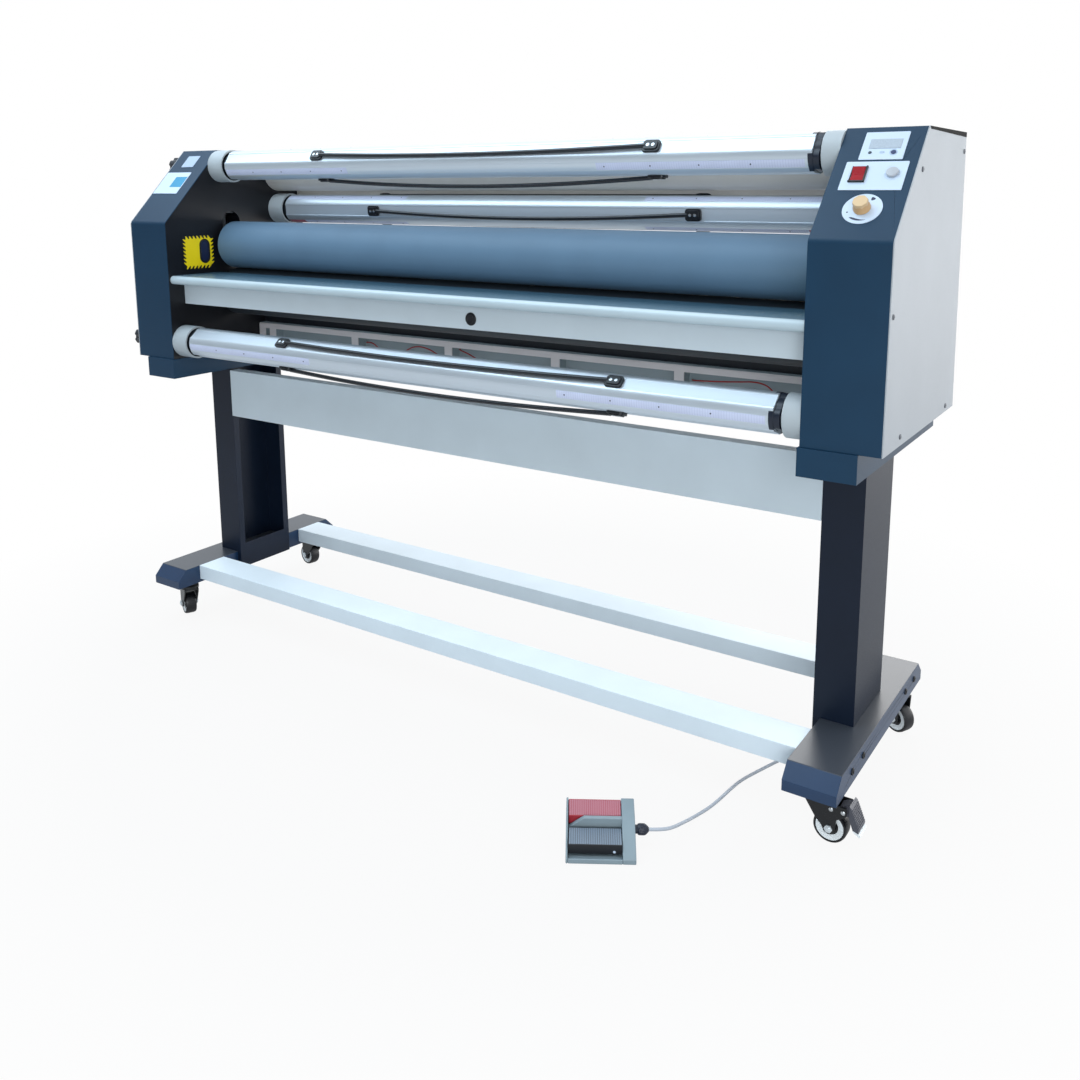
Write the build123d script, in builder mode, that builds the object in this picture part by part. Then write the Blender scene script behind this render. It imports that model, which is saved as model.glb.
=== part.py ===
from build123d import *
from math import cos, hypot, radians, sin, tan
import os

os.makedirs("parts", exist_ok=True)

# Sizes in millimetres. +X runs along the rollers to the operator's right,
# -Y is the feed side, +Z is up, the floor is z = 0 and x = 0 is mid width.

# Clearances
RUN = 0.05            # radial running fit of a shaft in a bore
SLIDE = 0.3           # gap between faces that move past each other

# Height chain, from the floor up
CASTER_PLATE_Z = 100
CASTER_PLATE = 4
FOOT_H = 46
COLUMN_H = 507
SADDLE_H = 49
FRONT_H = 339         # upright front of a side housing
SLOPE_H = 180         # rise of the slope
FOOT_Z = CASTER_PLATE_Z + CASTER_PLATE
FOOT_TOP = FOOT_Z + FOOT_H
COLUMN_TOP = FOOT_TOP + COLUMN_H
SADDLE_TOP = COLUMN_TOP + SADDLE_H
BEND_Z = SADDLE_TOP + FRONT_H
TOP_Z = BEND_Z + SLOPE_H

# Width chain, mirrored about x = 0
SPAN = 811            # inner face of a side plate
PLATE = 8             # thickness of a side plate
HOUSING_W = 134       # side plate's inner face to the side panel
PANEL_X = SPAN + HOUSING_W
SHEET = 2             # thickness of the covers
WALL = 3              # thickness of the stand's sheet

# Side housing outline in (y, z), clockwise seen from +X
FRONT_Y = -267
HOUSING = [(FRONT_Y, SADDLE_TOP), (FRONT_Y, BEND_Z), (FRONT_Y + 173, TOP_Z), (175, TOP_Z),
           (208, SADDLE_TOP)]
BEND_R = 14
SCREWS_YZ = [(-128, TOP_Z - 70), (163, TOP_Z - 35), (FRONT_Y + 14, BEND_Z - 116),
             (143, SADDLE_TOP + 12), (-172, SADDLE_TOP + 16)]
SCREW_R = 1.95
POST_R = 6

# Roller and shaft axes in (y, z)
ROLLER_R = 60
ROLLER_HALF = SPAN - 15
JOURNAL_R = 15
ROLLER_Y = -63
TOP_AXIS = (ROLLER_Y, BEND_Z - 61)
NIP = 0.3
BOTTOM_AXIS = (ROLLER_Y, TOP_AXIS[1] - 2 * ROLLER_R - NIP)
LIFT_TRAVEL = 28
SHAFT_AXES = {"upper": (-88, TOP_Z - 41), "rear": (104, TOP_Z - 151),
              "lower": (FRONT_Y + 40, SADDLE_TOP + 43)}
SHAFT_R = 36.9
PLUG_L = 16           # length of the right end plug
BOSS_L = 33           # length of a right boss
CUP_L = 51            # length of a left cup
PLUG_RIGHT = SPAN - BOSS_L
SHAFT_RIGHT = PLUG_RIGHT - PLUG_L
CUP_RIM = CUP_L - SPAN
CUP_FLOOR = 16 - SPAN
SHAFT_LEFT = CUP_RIM + 10
SHAFT_BORE = 25       # radius of the closed space inside the profile
FLAT_R = 34           # distance of the grip flats from the shaft's axis

# Control panel on the slope: x and distance s up the slope from the bend
PANEL_MID = SPAN + 71    # middle of the control panel
ROCKER = (PANEL_MID - 25.25, 140.5)
BUTTON = (PANEL_MID + 29.4, 142.7)
DIAL = (PANEL_MID - 0.6, 66.4)
LABEL = 1.2           # thickness of the plates on the slope


def block(x0, x1, y0, y1, z0, z1, mode=Mode.ADD):
    """A box between two corners."""
    with Locations(((x0 + x1) / 2, (y0 + y1) / 2, (z0 + z1) / 2)):
        Box(abs(x1 - x0), abs(y1 - y0), abs(z1 - z0), mode=mode)


def rod(x0, x1, y, z, radius, mode=Mode.ADD):
    """A round bar along X."""
    with Locations(Location(((x0 + x1) / 2, y, z), (0, 90, 0))):
        Cylinder(radius, abs(x1 - x0), mode=mode)


def post(x, y, z0, z1, radius, mode=Mode.ADD):
    """A round bar along Z."""
    with Locations((x, y, (z0 + z1) / 2)):
        Cylinder(radius, z1 - z0, mode=mode)


def inset(points, gaps):
    """Move every side of a clockwise outline inwards by its own gap."""
    count = len(points)
    moved = []
    for i in range(count):
        before, here, after = points[i - 1], points[i], points[(i + 1) % count]
        normals = []
        for start, end in ((before, here), (here, after)):
            length = hypot(end[0] - start[0], end[1] - start[1])
            normals.append(((end[1] - start[1]) / length, -(end[0] - start[0]) / length))
        n1, n2 = normals
        d1, d2 = gaps[i - 1], gaps[i]
        c = n1[0] * n2[0] + n1[1] * n2[1]
        a = (d1 - c * d2) / (1 - c * c)
        b = (d2 - c * d1) / (1 - c * c)
        moved.append((here[0] + a * n1[0] + b * n2[0], here[1] + a * n1[1] + b * n2[1]))
    return moved


HOUSING_IN = inset(HOUSING, [SHEET, SHEET, SHEET, SHEET, 0])


def corner(sketch, point):
    """The vertex of a sketch that lies on a point."""
    return sketch.vertices().filter_by(
        lambda v: abs(v.X - point[0]) < 0.01 and abs(v.Y - point[1]) < 0.01)


# Plane of the slope: origin on the bend, x along the rollers, y up the slope
SLOPE_DY = HOUSING[2][0] - HOUSING[1][0]
SLOPE_DZ = SLOPE_H
SLOPE = Plane(origin=(0, HOUSING[1][0], BEND_Z), x_dir=(1, 0, 0),
              z_dir=(0, -SLOPE_DZ, SLOPE_DY))

# Stand
FOOT_X = (SPAN + 3, SPAN + 99)
TOE_Z = FOOT_Z + 20
FOOT_OUTLINE = [(-295, FOOT_Z), (-295, TOE_Z), (-270, FOOT_TOP), (230, FOOT_TOP),
                (257, TOE_Z), (257, FOOT_Z)]
FOOT_BOLTS_Y = (-212, -149, 132, 196)
FOOT_BOLTS_Z = FOOT_Z + 25
BOLT_R = 4


def foot(side):
    """Closed sheet box with chamfered ends."""
    with BuildPart() as body:
        with BuildSketch(Plane.YZ.offset(side * FOOT_X[0])):
            Polygon(*FOOT_OUTLINE, align=None)
        extrude(amount=side * (FOOT_X[1] - FOOT_X[0]))
        with BuildSketch(Plane.YZ.offset(side * (FOOT_X[0] + WALL))):
            Polygon(*inset(FOOT_OUTLINE, [WALL] * 6), align=None)
        extrude(amount=side * (FOOT_X[1] - FOOT_X[0] - 2 * WALL), mode=Mode.SUBTRACT)
        for y in FOOT_BOLTS_Y:
            rod(side * (FOOT_X[1] - WALL - 1), side * (FOOT_X[1] + 1), y, FOOT_BOLTS_Z,
                BOLT_R + RUN, Mode.SUBTRACT)
    return body


left_foot = foot(-1)
right_foot = foot(1)

# Columns: sheet channels open towards the middle
COLUMN_X = (SPAN - 11, SPAN + 66)
COLUMN_Y = (-102, 71)
RETURN = 18
LIP_TOP = FOOT_TOP + 22
SKIRT_Z = FOOT_Z + 2


def column(side):
    """Channel with return flanges, a bottom lip and a skirt over the foot."""
    x0, x1 = side * COLUMN_X[0], side * COLUMN_X[1]
    y0, y1 = COLUMN_Y
    with BuildPart() as body:
        block(x0, x1, y0, y1, FOOT_TOP, COLUMN_TOP)
        block(x0 - side, x1 - side * WALL, y0 + WALL, y1 - WALL, FOOT_TOP - 1, COLUMN_TOP + 1,
              Mode.SUBTRACT)
        block(x0, x0 + side * WALL, y0, y0 + RETURN, FOOT_TOP, COLUMN_TOP)
        block(x0, x0 + side * WALL, y1 - RETURN, y1, FOOT_TOP, COLUMN_TOP)
        block(x0, x0 + side * WALL, y0, y1, SKIRT_Z, LIP_TOP)
        block(x0, side * FOOT_X[0], y0, y0 + WALL, SKIRT_Z, FOOT_TOP)
        block(x0, side * FOOT_X[0], y1 - WALL, y1, SKIRT_Z, FOOT_TOP)
    return body


left_column = column(-1)
right_column = column(1)

SADDLE_X = (SPAN - 3, SPAN + 98)
SADDLE_Y = (-271, 229)
with BuildPart() as saddles:
    for side in (-1, 1):
        block(side * SADDLE_X[0], side * SADDLE_X[1], *SADDLE_Y, COLUMN_TOP, SADDLE_TOP)
        block(side * (SADDLE_X[0] + WALL), side * (SADDLE_X[1] - WALL), SADDLE_Y[0] + WALL,
              SADDLE_Y[1] - WALL, COLUMN_TOP + WALL, SADDLE_TOP - WALL, Mode.SUBTRACT)

STRETCHER_Z = (FOOT_Z + 9, FOOT_TOP)


def stretcher(y0, y1):
    """Box tube with closed ends between the feet."""
    with BuildPart() as body:
        block(-FOOT_X[0], FOOT_X[0], y0, y1, *STRETCHER_Z)
        block(-FOOT_X[0] + WALL, FOOT_X[0] - WALL, y0 + WALL, y1 - WALL,
              STRETCHER_Z[0] + WALL, STRETCHER_Z[1] - WALL, Mode.SUBTRACT)
    return body


front_stretcher = stretcher(-228, -149)
rear_stretcher = stretcher(119, 198)

# Cross panel: a channel with its flanges to the rear
CROSS_Z = (COLUMN_TOP - 125, COLUMN_TOP - 2)
CROSS_DEPTH = 30
with BuildPart() as cross_panel:
    half = COLUMN_X[0]
    y0 = COLUMN_Y[0] - SHEET
    block(-half, half, y0, y0 + SHEET, *CROSS_Z)
    block(-half, half, y0, y0 + CROSS_DEPTH, CROSS_Z[1] - SHEET, CROSS_Z[1])
    block(-half, half, y0, y0 + CROSS_DEPTH, CROSS_Z[0], CROSS_Z[0] + SHEET)
    for side in (-1, 1):
        block(side * (half - SHEET), side * half, y0, y0 + CROSS_DEPTH, *CROSS_Z)

BOLT_HEAD = 6.4
with BuildPart() as frame_bolts:
    for side in (-1, 1):
        with BuildSketch(Plane.YZ.offset(side * FOOT_X[1])):
            with Locations(*[(y, FOOT_BOLTS_Z) for y in FOOT_BOLTS_Y]):
                RegularPolygon(radius=8, side_count=6, major_radius=False)
        extrude(amount=side * BOLT_HEAD)
        for y in FOOT_BOLTS_Y:
            rod(side * (FOOT_X[1] - 12), side * FOOT_X[1], y, FOOT_BOLTS_Z, BOLT_R)

# Casters
CASTER_X = SPAN + 49
CASTERS = {"front_right": (CASTER_X, -228, 0), "rear_right": (CASTER_X, 222, -26),
           "front_left": (-CASTER_X, -228, 155), "rear_left": (-CASTER_X, 222, 170)}
TRAIL = 24
WHEEL_R = 30
WHEEL_HALF = 14
HUB_R = 24.5
AXLE_R = 4
KINGPIN_R = 6
LEG_IN = 15.5
LEG_OUT = 18.5
BRAKE_AXIS = (48, 68)
BRAKE_PIN_R = 2.5

with BuildPart() as caster_plates:
    for x, y, heading in CASTERS.values():
        block(x - 30, x + 30, y - 30, y + 30, CASTER_PLATE_Z, FOOT_Z)
        post(x, y, CASTER_PLATE_Z - 1, FOOT_Z + 1, KINGPIN_R + RUN, Mode.SUBTRACT)


def wheel_plane(x, y, heading):
    """Upright plane through a caster: u along its heading, v up."""
    a = radians(heading)
    return Plane(origin=(x, y, 0), x_dir=(cos(a), sin(a), 0), z_dir=(sin(a), -cos(a), 0))


def caster_fork(x, y, heading, pinned=False):
    """Turret, top bridge, two legs and the axle with its nuts."""
    plane = wheel_plane(x, y, heading)
    with BuildPart() as body:
        with BuildSketch(plane):
            with Locations((9.5, 78)):
                Rectangle(57, 4)
        extrude(amount=LEG_OUT, both=True)
        for start in (LEG_IN, -LEG_OUT):
            with BuildSketch(plane.offset(start)):
                Polygon((-19, 77), (38, 77), (35, WHEEL_R), (13, WHEEL_R), (-2, 46), (-19, 72),
                        align=None)
                if pinned:
                    Polygon((30, 77), (54, 77), (54, 62), (34, 48), align=None)
                with Locations((TRAIL, WHEEL_R)):
                    Circle(11)
                if pinned:
                    with Locations(BRAKE_AXIS):
                        Circle(BRAKE_PIN_R + RUN, mode=Mode.SUBTRACT)
            extrude(amount=LEG_OUT - LEG_IN)
        with BuildSketch(plane):
            with Locations((TRAIL, WHEEL_R)):
                Circle(AXLE_R)
        extrude(amount=LEG_OUT, both=True)
        for start, way in ((LEG_OUT, 1), (-LEG_OUT, -1)):
            with BuildSketch(plane.offset(start)):
                with Locations((TRAIL, WHEEL_R)):
                    RegularPolygon(radius=6.5, side_count=6, major_radius=False)
            extrude(amount=way * 5)
        post(x, y, 79, CASTER_PLATE_Z - SLIDE, 21)
        post(x, y, 79, FOOT_Z - SLIDE, KINGPIN_R)
    return body


def caster_wheel(x, y, heading):
    """Hub and tyre, two solids on one axle."""
    plane = wheel_plane(x, y, heading)
    with BuildPart() as tyre:
        with BuildSketch(plane):
            with Locations((TRAIL, WHEEL_R)):
                Circle(WHEEL_R)
                Circle(HUB_R, mode=Mode.SUBTRACT)
        extrude(amount=WHEEL_HALF, both=True)
        rims = tyre.edges().filter_by(GeomType.CIRCLE).sort_by(SortBy.RADIUS)[-2:]
        fillet(rims, 4)
    with BuildPart() as hub:
        with BuildSketch(plane):
            with Locations((TRAIL, WHEEL_R)):
                Circle(HUB_R)
                Circle(AXLE_R + RUN, mode=Mode.SUBTRACT)
        extrude(amount=WHEEL_HALF - 2, both=True)
    return tyre, hub


front_right_fork = caster_fork(*CASTERS["front_right"], pinned=True)
rear_right_fork = caster_fork(*CASTERS["rear_right"])
front_left_fork = caster_fork(*CASTERS["front_left"])
rear_left_fork = caster_fork(*CASTERS["rear_left"])

wheel_solids = {name: caster_wheel(*where) for name, where in CASTERS.items()}

with BuildPart() as caster_brake:
    plane = wheel_plane(*CASTERS["front_right"])
    with BuildSketch(plane):
        Polygon((40, 74), (60, 82), (62, 60), (52, 58), (40, 64), align=None)
    extrude(amount=12, both=True)
    with BuildSketch(plane):
        Polygon((58, 84), (63, 80), (78, 43), (76, 34), (66, 38), (58, 60), align=None)
    extrude(amount=18, both=True)
    with BuildSketch(plane):
        with Locations(BRAKE_AXIS):
            Circle(BRAKE_PIN_R)
    extrude(amount=LEG_OUT + 1, both=True)

# Side housings
SLOT_R = 28
SLOT_Z = (TOP_AXIS[1] - 14, TOP_AXIS[1] + 58)
BLOCK_Y = 30          # half width of a bearing block
BLOCK_X = (SPAN + PLATE + SLIDE, SPAN + 53)
BLOCK_Z = (TOP_AXIS[1] - 35, TOP_AXIS[1] + 35)
RAIL = 8
CUTOUT = (24, 33)     # rocker switch body through the slope
STEM_R = 5
SPINDLE_R = 3


def side_frame(side):
    """Side plate with roller slot, bore, guide rails and panel posts."""
    y, z = TOP_AXIS
    with BuildPart() as body:
        with BuildSketch(Plane.YZ.offset(side * SPAN)) as outline:
            Polygon(*HOUSING_IN, align=None)
            fillet(corner(outline, HOUSING_IN[1]), BEND_R - SHEET)
            with Locations((y, (SLOT_Z[0] + SLOT_Z[1]) / 2)):
                SlotCenterToCenter(SLOT_Z[1] - SLOT_Z[0], 2 * SLOT_R, rotation=90,
                                   mode=Mode.SUBTRACT)
            with Locations(BOTTOM_AXIS):
                Circle(JOURNAL_R + RUN, mode=Mode.SUBTRACT)
            if side < 0:
                with Locations(*SHAFT_AXES.values()):
                    Circle(JOURNAL_R + RUN, mode=Mode.SUBTRACT)
        extrude(amount=side * PLATE)
        for way in (-1, 1):
            inner = y + way * (BLOCK_Y + SLIDE)
            block(side * (SPAN + PLATE), side * BLOCK_X[1], inner, inner + way * RAIL,
                  z - 64, z + 76)
        for py, pz in SCREWS_YZ:
            rod(side * (SPAN + PLATE), side * PANEL_X, py, pz, POST_R)
            rod(side * (PANEL_X - 12), side * (PANEL_X + 1), py, pz, SCREW_R + RUN, Mode.SUBTRACT)
    return body


left_side_frame = side_frame(-1)
right_side_frame = side_frame(1)


def front_cover(side):
    """Upright front and slope, one bent sheet."""
    ribbon = [HOUSING[0], HOUSING[1], HOUSING[2], HOUSING_IN[2], HOUSING_IN[1], HOUSING_IN[0]]
    with BuildPart() as body:
        with BuildSketch(Plane.YZ.offset(side * SPAN)) as outline:
            Polygon(*ribbon, align=None)
            fillet(corner(outline, HOUSING[1]), BEND_R)
            fillet(corner(outline, HOUSING_IN[1]), BEND_R - SHEET)
        extrude(amount=side * (PANEL_X - SPAN))
        if side > 0:
            with BuildSketch(SLOPE):
                with Locations(ROCKER):
                    Rectangle(*CUTOUT)
                with Locations(BUTTON):
                    Circle(STEM_R + RUN)
                with Locations(DIAL):
                    Circle(SPINDLE_R + RUN)
            extrude(amount=2 * SHEET, both=True, mode=Mode.SUBTRACT)
    return body


left_front_cover = front_cover(-1)
right_front_cover = front_cover(1)

with BuildPart() as top_covers:
    for side in (-1, 1):
        with BuildSketch(Plane.YZ.offset(side * SPAN)):
            Polygon(HOUSING[2], HOUSING[3], HOUSING[4], HOUSING_IN[4], HOUSING_IN[3],
                    HOUSING_IN[2], align=None)
        extrude(amount=side * (PANEL_X - SPAN))

KNOB_SPINDLE_R = 6


def side_panel(side):
    """Flat outer panel with an inward bottom flange."""
    with BuildPart() as body:
        with BuildSketch(Plane.YZ.offset(side * PANEL_X)) as outline:
            Polygon(*HOUSING, align=None)
            fillet(corner(outline, HOUSING[1]), BEND_R)
            with Locations(*SCREWS_YZ):
                Circle(SCREW_R + RUN, mode=Mode.SUBTRACT)
            if side < 0:
                with Locations(*SHAFT_AXES.values()):
                    Circle(KNOB_SPINDLE_R + RUN, mode=Mode.SUBTRACT)
        extrude(amount=side * SHEET)
        block(side * SADDLE_X[1], side * PANEL_X, HOUSING[0][0] + 3, HOUSING[4][0] - 3, SADDLE_TOP,
              SADDLE_TOP + SHEET)
    return body


left_side_panel = side_panel(-1)
right_side_panel = side_panel(1)

with BuildPart() as cover_screws:
    for side in (-1, 1):
        outer = side * (PANEL_X + SHEET)
        for y, z in SCREWS_YZ:
            rod(outer, outer + side * 2.3, y, z, 4.5)
            rod(outer - side * 12, outer, y, z, SCREW_R)

# Between the housings
TABLE_TOP = TOP_AXIS[1] - 69
TABLE_T = 6
NOSE = 21             # depth and height of the rolled nose
NOSE_Y = FRONT_Y + 6
TABLE_BACK = ROLLER_Y - 45
with BuildPart() as feed_table:
    with BuildSketch(Plane.YZ.offset(-SPAN)) as outline:
        Polygon((NOSE_Y + NOSE, TABLE_TOP - NOSE), (NOSE_Y, TABLE_TOP - NOSE),
                (NOSE_Y, TABLE_TOP), (TABLE_BACK, TABLE_TOP), (TABLE_BACK, TABLE_TOP - TABLE_T),
                (NOSE_Y + NOSE, TABLE_TOP - TABLE_T), align=None)
        fillet(corner(outline, (NOSE_Y, TABLE_TOP - NOSE)) + corner(outline, (NOSE_Y, TABLE_TOP)),
               0.476 * NOSE)
    extrude(amount=2 * SPAN)

APRON_Y = NOSE_Y + 40
APRON_Z = TABLE_TOP - 72
PLUG_XZ = (98, APRON_Z + 22)
PLUG_STEM_R = 10
with BuildPart() as table_apron:
    block(-SPAN, SPAN, APRON_Y, APRON_Y + SHEET, APRON_Z, TABLE_TOP - TABLE_T)
    block(-SPAN, SPAN, APRON_Y, APRON_Y + 21, APRON_Z, APRON_Z + SHEET)
    with Locations(Location((PLUG_XZ[0], APRON_Y, PLUG_XZ[1]), (90, 0, 0))):
        Cylinder(PLUG_STEM_R + RUN, 4 * SHEET, mode=Mode.SUBTRACT)

with BuildPart() as apron_plug:
    with Locations(Location((PLUG_XZ[0], APRON_Y, PLUG_XZ[1]), (90, 0, 0))):
        Cylinder(13.5, 2.5, align=(Align.CENTER, Align.CENTER, Align.MIN))
        Cylinder(PLUG_STEM_R, 6, align=(Align.CENTER, Align.CENTER, Align.MAX))

FRAME_Y = (10, 40)
FRAME_Z = (SADDLE_TOP - 26, SADDLE_TOP + 64)
BEAM_Y = (34, 64)
BEAM_TOP = FRAME_Z[1] + 41
with BuildPart() as tie_beam:
    block(-SPAN, SPAN, *BEAM_Y, FRAME_Z[1], BEAM_TOP)
    block(-SPAN + WALL, SPAN - WALL, BEAM_Y[0] + WALL, BEAM_Y[1] - WALL, FRAME_Z[1] + WALL,
          BEAM_TOP - WALL, Mode.SUBTRACT)

RIB = 22
RAIL_H = 14           # height of the frame's top rail
FRAME_HALF = SADDLE_X[0]
RIBS_X = [(FRAME_HALF - 51) * step for step in (-1, -0.6, -0.2, 0.2, 0.6, 1)]
with BuildPart() as lower_frame:
    block(-FRAME_HALF, FRAME_HALF, *FRAME_Y, *FRAME_Z)
    edges = [-FRAME_HALF + RIB]
    for x in RIBS_X:
        edges += [x - RIB / 2, x + RIB / 2]
    edges.append(FRAME_HALF - RIB)
    for i in range(0, len(edges), 2):
        block(edges[i], edges[i + 1], FRAME_Y[0] - 1, FRAME_Y[1] - SHEET, FRAME_Z[0] + SHEET,
              FRAME_Z[1] - RAIL_H, Mode.SUBTRACT)
    front_rims = lower_frame.edges().filter_by(Axis.X).filter_by(
        lambda e: abs(e.center().Y - FRAME_Y[0]) < 0.01 and abs(e.center().Z - FRAME_Z[1]) < 0.01)
    fillet(front_rims, 5)

def route_radii(points):
    """Bend radius of each inner corner from its two runs and its turn."""
    radii = []
    for p, q, r in zip(points, points[1:], points[2:]):
        first = Vector(*q) - Vector(*p)
        second = Vector(*r) - Vector(*q)
        half_turn = radians(first.get_angle(second)) / 2
        radii.append(0.45 * min(first.length, second.length) / tan(half_turn))
    return radii


# Heater leads: they leave the frame's back wall, run along a cell and go back in.
# Each is a start x and its corners as x from the start, depth and height in the cell.
LEAD_R = 1.5
LEADS = [
    (-436, [(0, 0.3, 62), (3, 12, 62), (30, 15, 66), (53, 12, 48), (56, 0.3, 46)]),
    (-312, [(0, 0.3, 44), (3, 13, 46), (44, 15, 68), (88, 15, 66), (129, 13, 46), (132, 0.3, 44)]),
    (-136, [(0, 0.3, 70), (3, 13, 70), (40, 15, 62), (77, 13, 42), (80, 0.3, 40)]),
    (472, [(0, 0.3, 56), (3, 12, 57), (90, 15, 63), (160, 15, 71), (189, 13, 44), (192, 0.3, 42)]),
]
with BuildPart() as heater_leads:
    for x0, corners in LEADS:
        wall = FRAME_Y[1] - SHEET
        corners = [(x0 + dx, wall - dy, FRAME_Z[0] + dz) for dx, dy, dz in corners]
        radii = route_radii(corners)
        with BuildLine() as route:
            FilletPolyline(*corners, radius=radii)
        run = Vector(*corners[1]) - Vector(*corners[0])
        with BuildSketch(Plane(origin=corners[0], z_dir=run)):
            Circle(LEAD_R)
        sweep(path=route.wires()[0])
        print("lead", [tuple(round(c, 1) for c in p) for p in corners],
              [round(r) for r in radii], round(route.wires()[0].length, 1))

COWL_R = 52
COWL_AXIS = (105, TOP_Z - COWL_R)
COWL_BACK = HOUSING[3][0] - 3
SKIRT_LOW = TOP_Z - 125


with BuildPart() as rear_cowl:
    with BuildSketch(Plane.YZ.offset(-SPAN)):
        with BuildLine():
            y, z = COWL_AXIS
            ThreePointArc((y, z - COWL_R), (y - COWL_R, z), (y, z + COWL_R))
            Polyline((y, z + COWL_R), (COWL_BACK, z + COWL_R), (COWL_BACK, SKIRT_LOW),
                     (COWL_BACK - SHEET, SKIRT_LOW), (COWL_BACK - SHEET, z - COWL_R), (y, z - COWL_R))
        make_face()
    extrude(amount=2 * SPAN)
    with BuildSketch(Plane.YZ.offset(-SPAN + SHEET)):
        with BuildLine():
            r = COWL_R - SHEET
            ThreePointArc((y, z - r), (y - r, z), (y, z + r))
            Polyline((y, z + r), (COWL_BACK - SHEET, z + r), (COWL_BACK - SHEET, z - r),
                     (y, z - r))
        make_face()
    extrude(amount=2 * (SPAN - SHEET), mode=Mode.SUBTRACT)

WINDOW_YZ = (ROLLER_Y - 84, TOP_AXIS[1] - 8)
WINDOW = (66, 28)     # height over the round ends and width
PLATE_YZ = (ROLLER_Y - 155, ROLLER_Y - 62, TABLE_TOP + 13, TABLE_TOP + 96)
with BuildPart() as sensor_windows:
    for side in (-1, 1):
        with BuildSketch(Plane.YZ.offset(side * SPAN)):
            y0, y1, z0, z1 = PLATE_YZ
            with Locations(((y0 + y1) / 2, (z0 + z1) / 2)):
                Rectangle(y1 - y0, z1 - z0)
            with Locations(WINDOW_YZ):
                SlotOverall(WINDOW[0], WINDOW[1], rotation=90, mode=Mode.SUBTRACT)
        extrude(amount=-side * 1.5)
        with BuildSketch(Plane.YZ.offset(side * SPAN)):
            with Locations(WINDOW_YZ):
                SlotOverall(WINDOW[0] - 1, WINDOW[1] - 1, rotation=90)
        extrude(amount=-side * 1)

# Drives
ROD_R = 6
ROD_X = SPAN + 31
ROD_TOP = TOP_AXIS[1] + 116
ACTUATOR_Z = (TOP_AXIS[1] + 81, SHAFT_AXES["upper"][1] - 29)
ACTUATOR_X = SPAN + 54
with BuildPart() as lift_actuators:
    for side in (-1, 1):
        y = TOP_AXIS[0]
        block(side * (SPAN + PLATE), side * ACTUATOR_X, y - 22, y + 22, *ACTUATOR_Z)
        post(side * ROD_X, y, ACTUATOR_Z[0] - 1, ROD_TOP + LIFT_TRAVEL + 4, ROD_R + RUN,
             Mode.SUBTRACT)

GEARBOX = 90
GEARBOX_X = SPAN + 70
MOTOR_R = 33
MOTOR_X = SPAN + 42
MOTOR_Z = SADDLE_TOP + 18
with BuildPart() as drive_motor:
    y, z = BOTTOM_AXIS
    block(SPAN + PLATE, GEARBOX_X, y - GEARBOX / 2, y + GEARBOX / 2, z - GEARBOX / 2, z + GEARBOX / 2)
    post(MOTOR_X, y, MOTOR_Z, z - GEARBOX / 2, MOTOR_R)
    rod(SPAN + PLATE - 1, GEARBOX_X + 1, y, z, JOURNAL_R + RUN, Mode.SUBTRACT)

with BuildPart() as lift_yokes:
    for side in (-1, 1):
        y, z = TOP_AXIS
        block(side * BLOCK_X[0], side * BLOCK_X[1], y - BLOCK_Y, y + BLOCK_Y, *BLOCK_Z)
        post(side * ROD_X, y, BLOCK_Z[1] - 1, ROD_TOP, ROD_R)
        rod(side * (BLOCK_X[0] - 1), side * (BLOCK_X[1] + 1), y, z, JOURNAL_R + RUN,
            Mode.SUBTRACT)

# Rollers
SLEEVE = 10
CORE_WALL = 6
HUB_X = (ROLLER_HALF - 26, ROLLER_HALF - 6)


def roller(axis, left_end, right_end):
    """Steel core with hubs and journals, and a separate soft sleeve."""
    y, z = axis
    core_r = ROLLER_R - SLEEVE
    with BuildPart() as sleeve:
        rod(-ROLLER_HALF, ROLLER_HALF, y, z, ROLLER_R)
        rod(-ROLLER_HALF - 1, ROLLER_HALF + 1, y, z, core_r, Mode.SUBTRACT)
    with BuildPart() as core:
        rod(-ROLLER_HALF, ROLLER_HALF, y, z, core_r)
        rod(-ROLLER_HALF - 1, ROLLER_HALF + 1, y, z, core_r - CORE_WALL, Mode.SUBTRACT)
        for side, end in ((-1, left_end), (1, right_end)):
            rod(side * HUB_X[0], side * HUB_X[1], y, z, core_r - CORE_WALL)
            rod(side * HUB_X[1], end, y, z, JOURNAL_R)
    return sleeve, core


top_sleeve, top_core = roller(TOP_AXIS, 2 - BLOCK_X[1], BLOCK_X[1] - 2)
bottom_sleeve, bottom_core = roller(BOTTOM_AXIS, -SPAN - 24, GEARBOX_X - 3)

# Film shafts
CUP_R = 40
BOSS_R = 39
with BuildPart() as shaft_holders:
    for y, z in SHAFT_AXES.values():
        rod(-SPAN, CUP_RIM, y, z, CUP_R)
        rod(CUP_FLOOR, CUP_RIM + 1, y, z, CUP_R - 4, Mode.SUBTRACT)
        rod(-SPAN - 1, CUP_FLOOR + 1, y, z, JOURNAL_R + RUN, Mode.SUBTRACT)
        rod(PLUG_RIGHT + SLIDE, SPAN, y, z, BOSS_R)
        rod(PLUG_RIGHT, SPAN - 5, y, z, JOURNAL_R + RUN, Mode.SUBTRACT)

# Grip hoses: angle of the first flat on each shaft, then how far the middle
# of the front hose lies down its flat and how far the lower hose hangs out
GRIP_TURN = {"upper": 147, "rear": 184, "lower": 130}
GRIP_SAG = {"upper": (9, 15), "rear": (13, 3), "lower": (8, 12)}
HOSE_R = 4.5
CLAMPS_X = (381 - SPAN, SPAN - 360)
CLAMP = (36, 26, 8)   # length, width and height of a hose clamp
DISC_R = 20
DISC_X = (SPAN + PLATE + SLIDE, SPAN + PLATE + 8)


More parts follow.
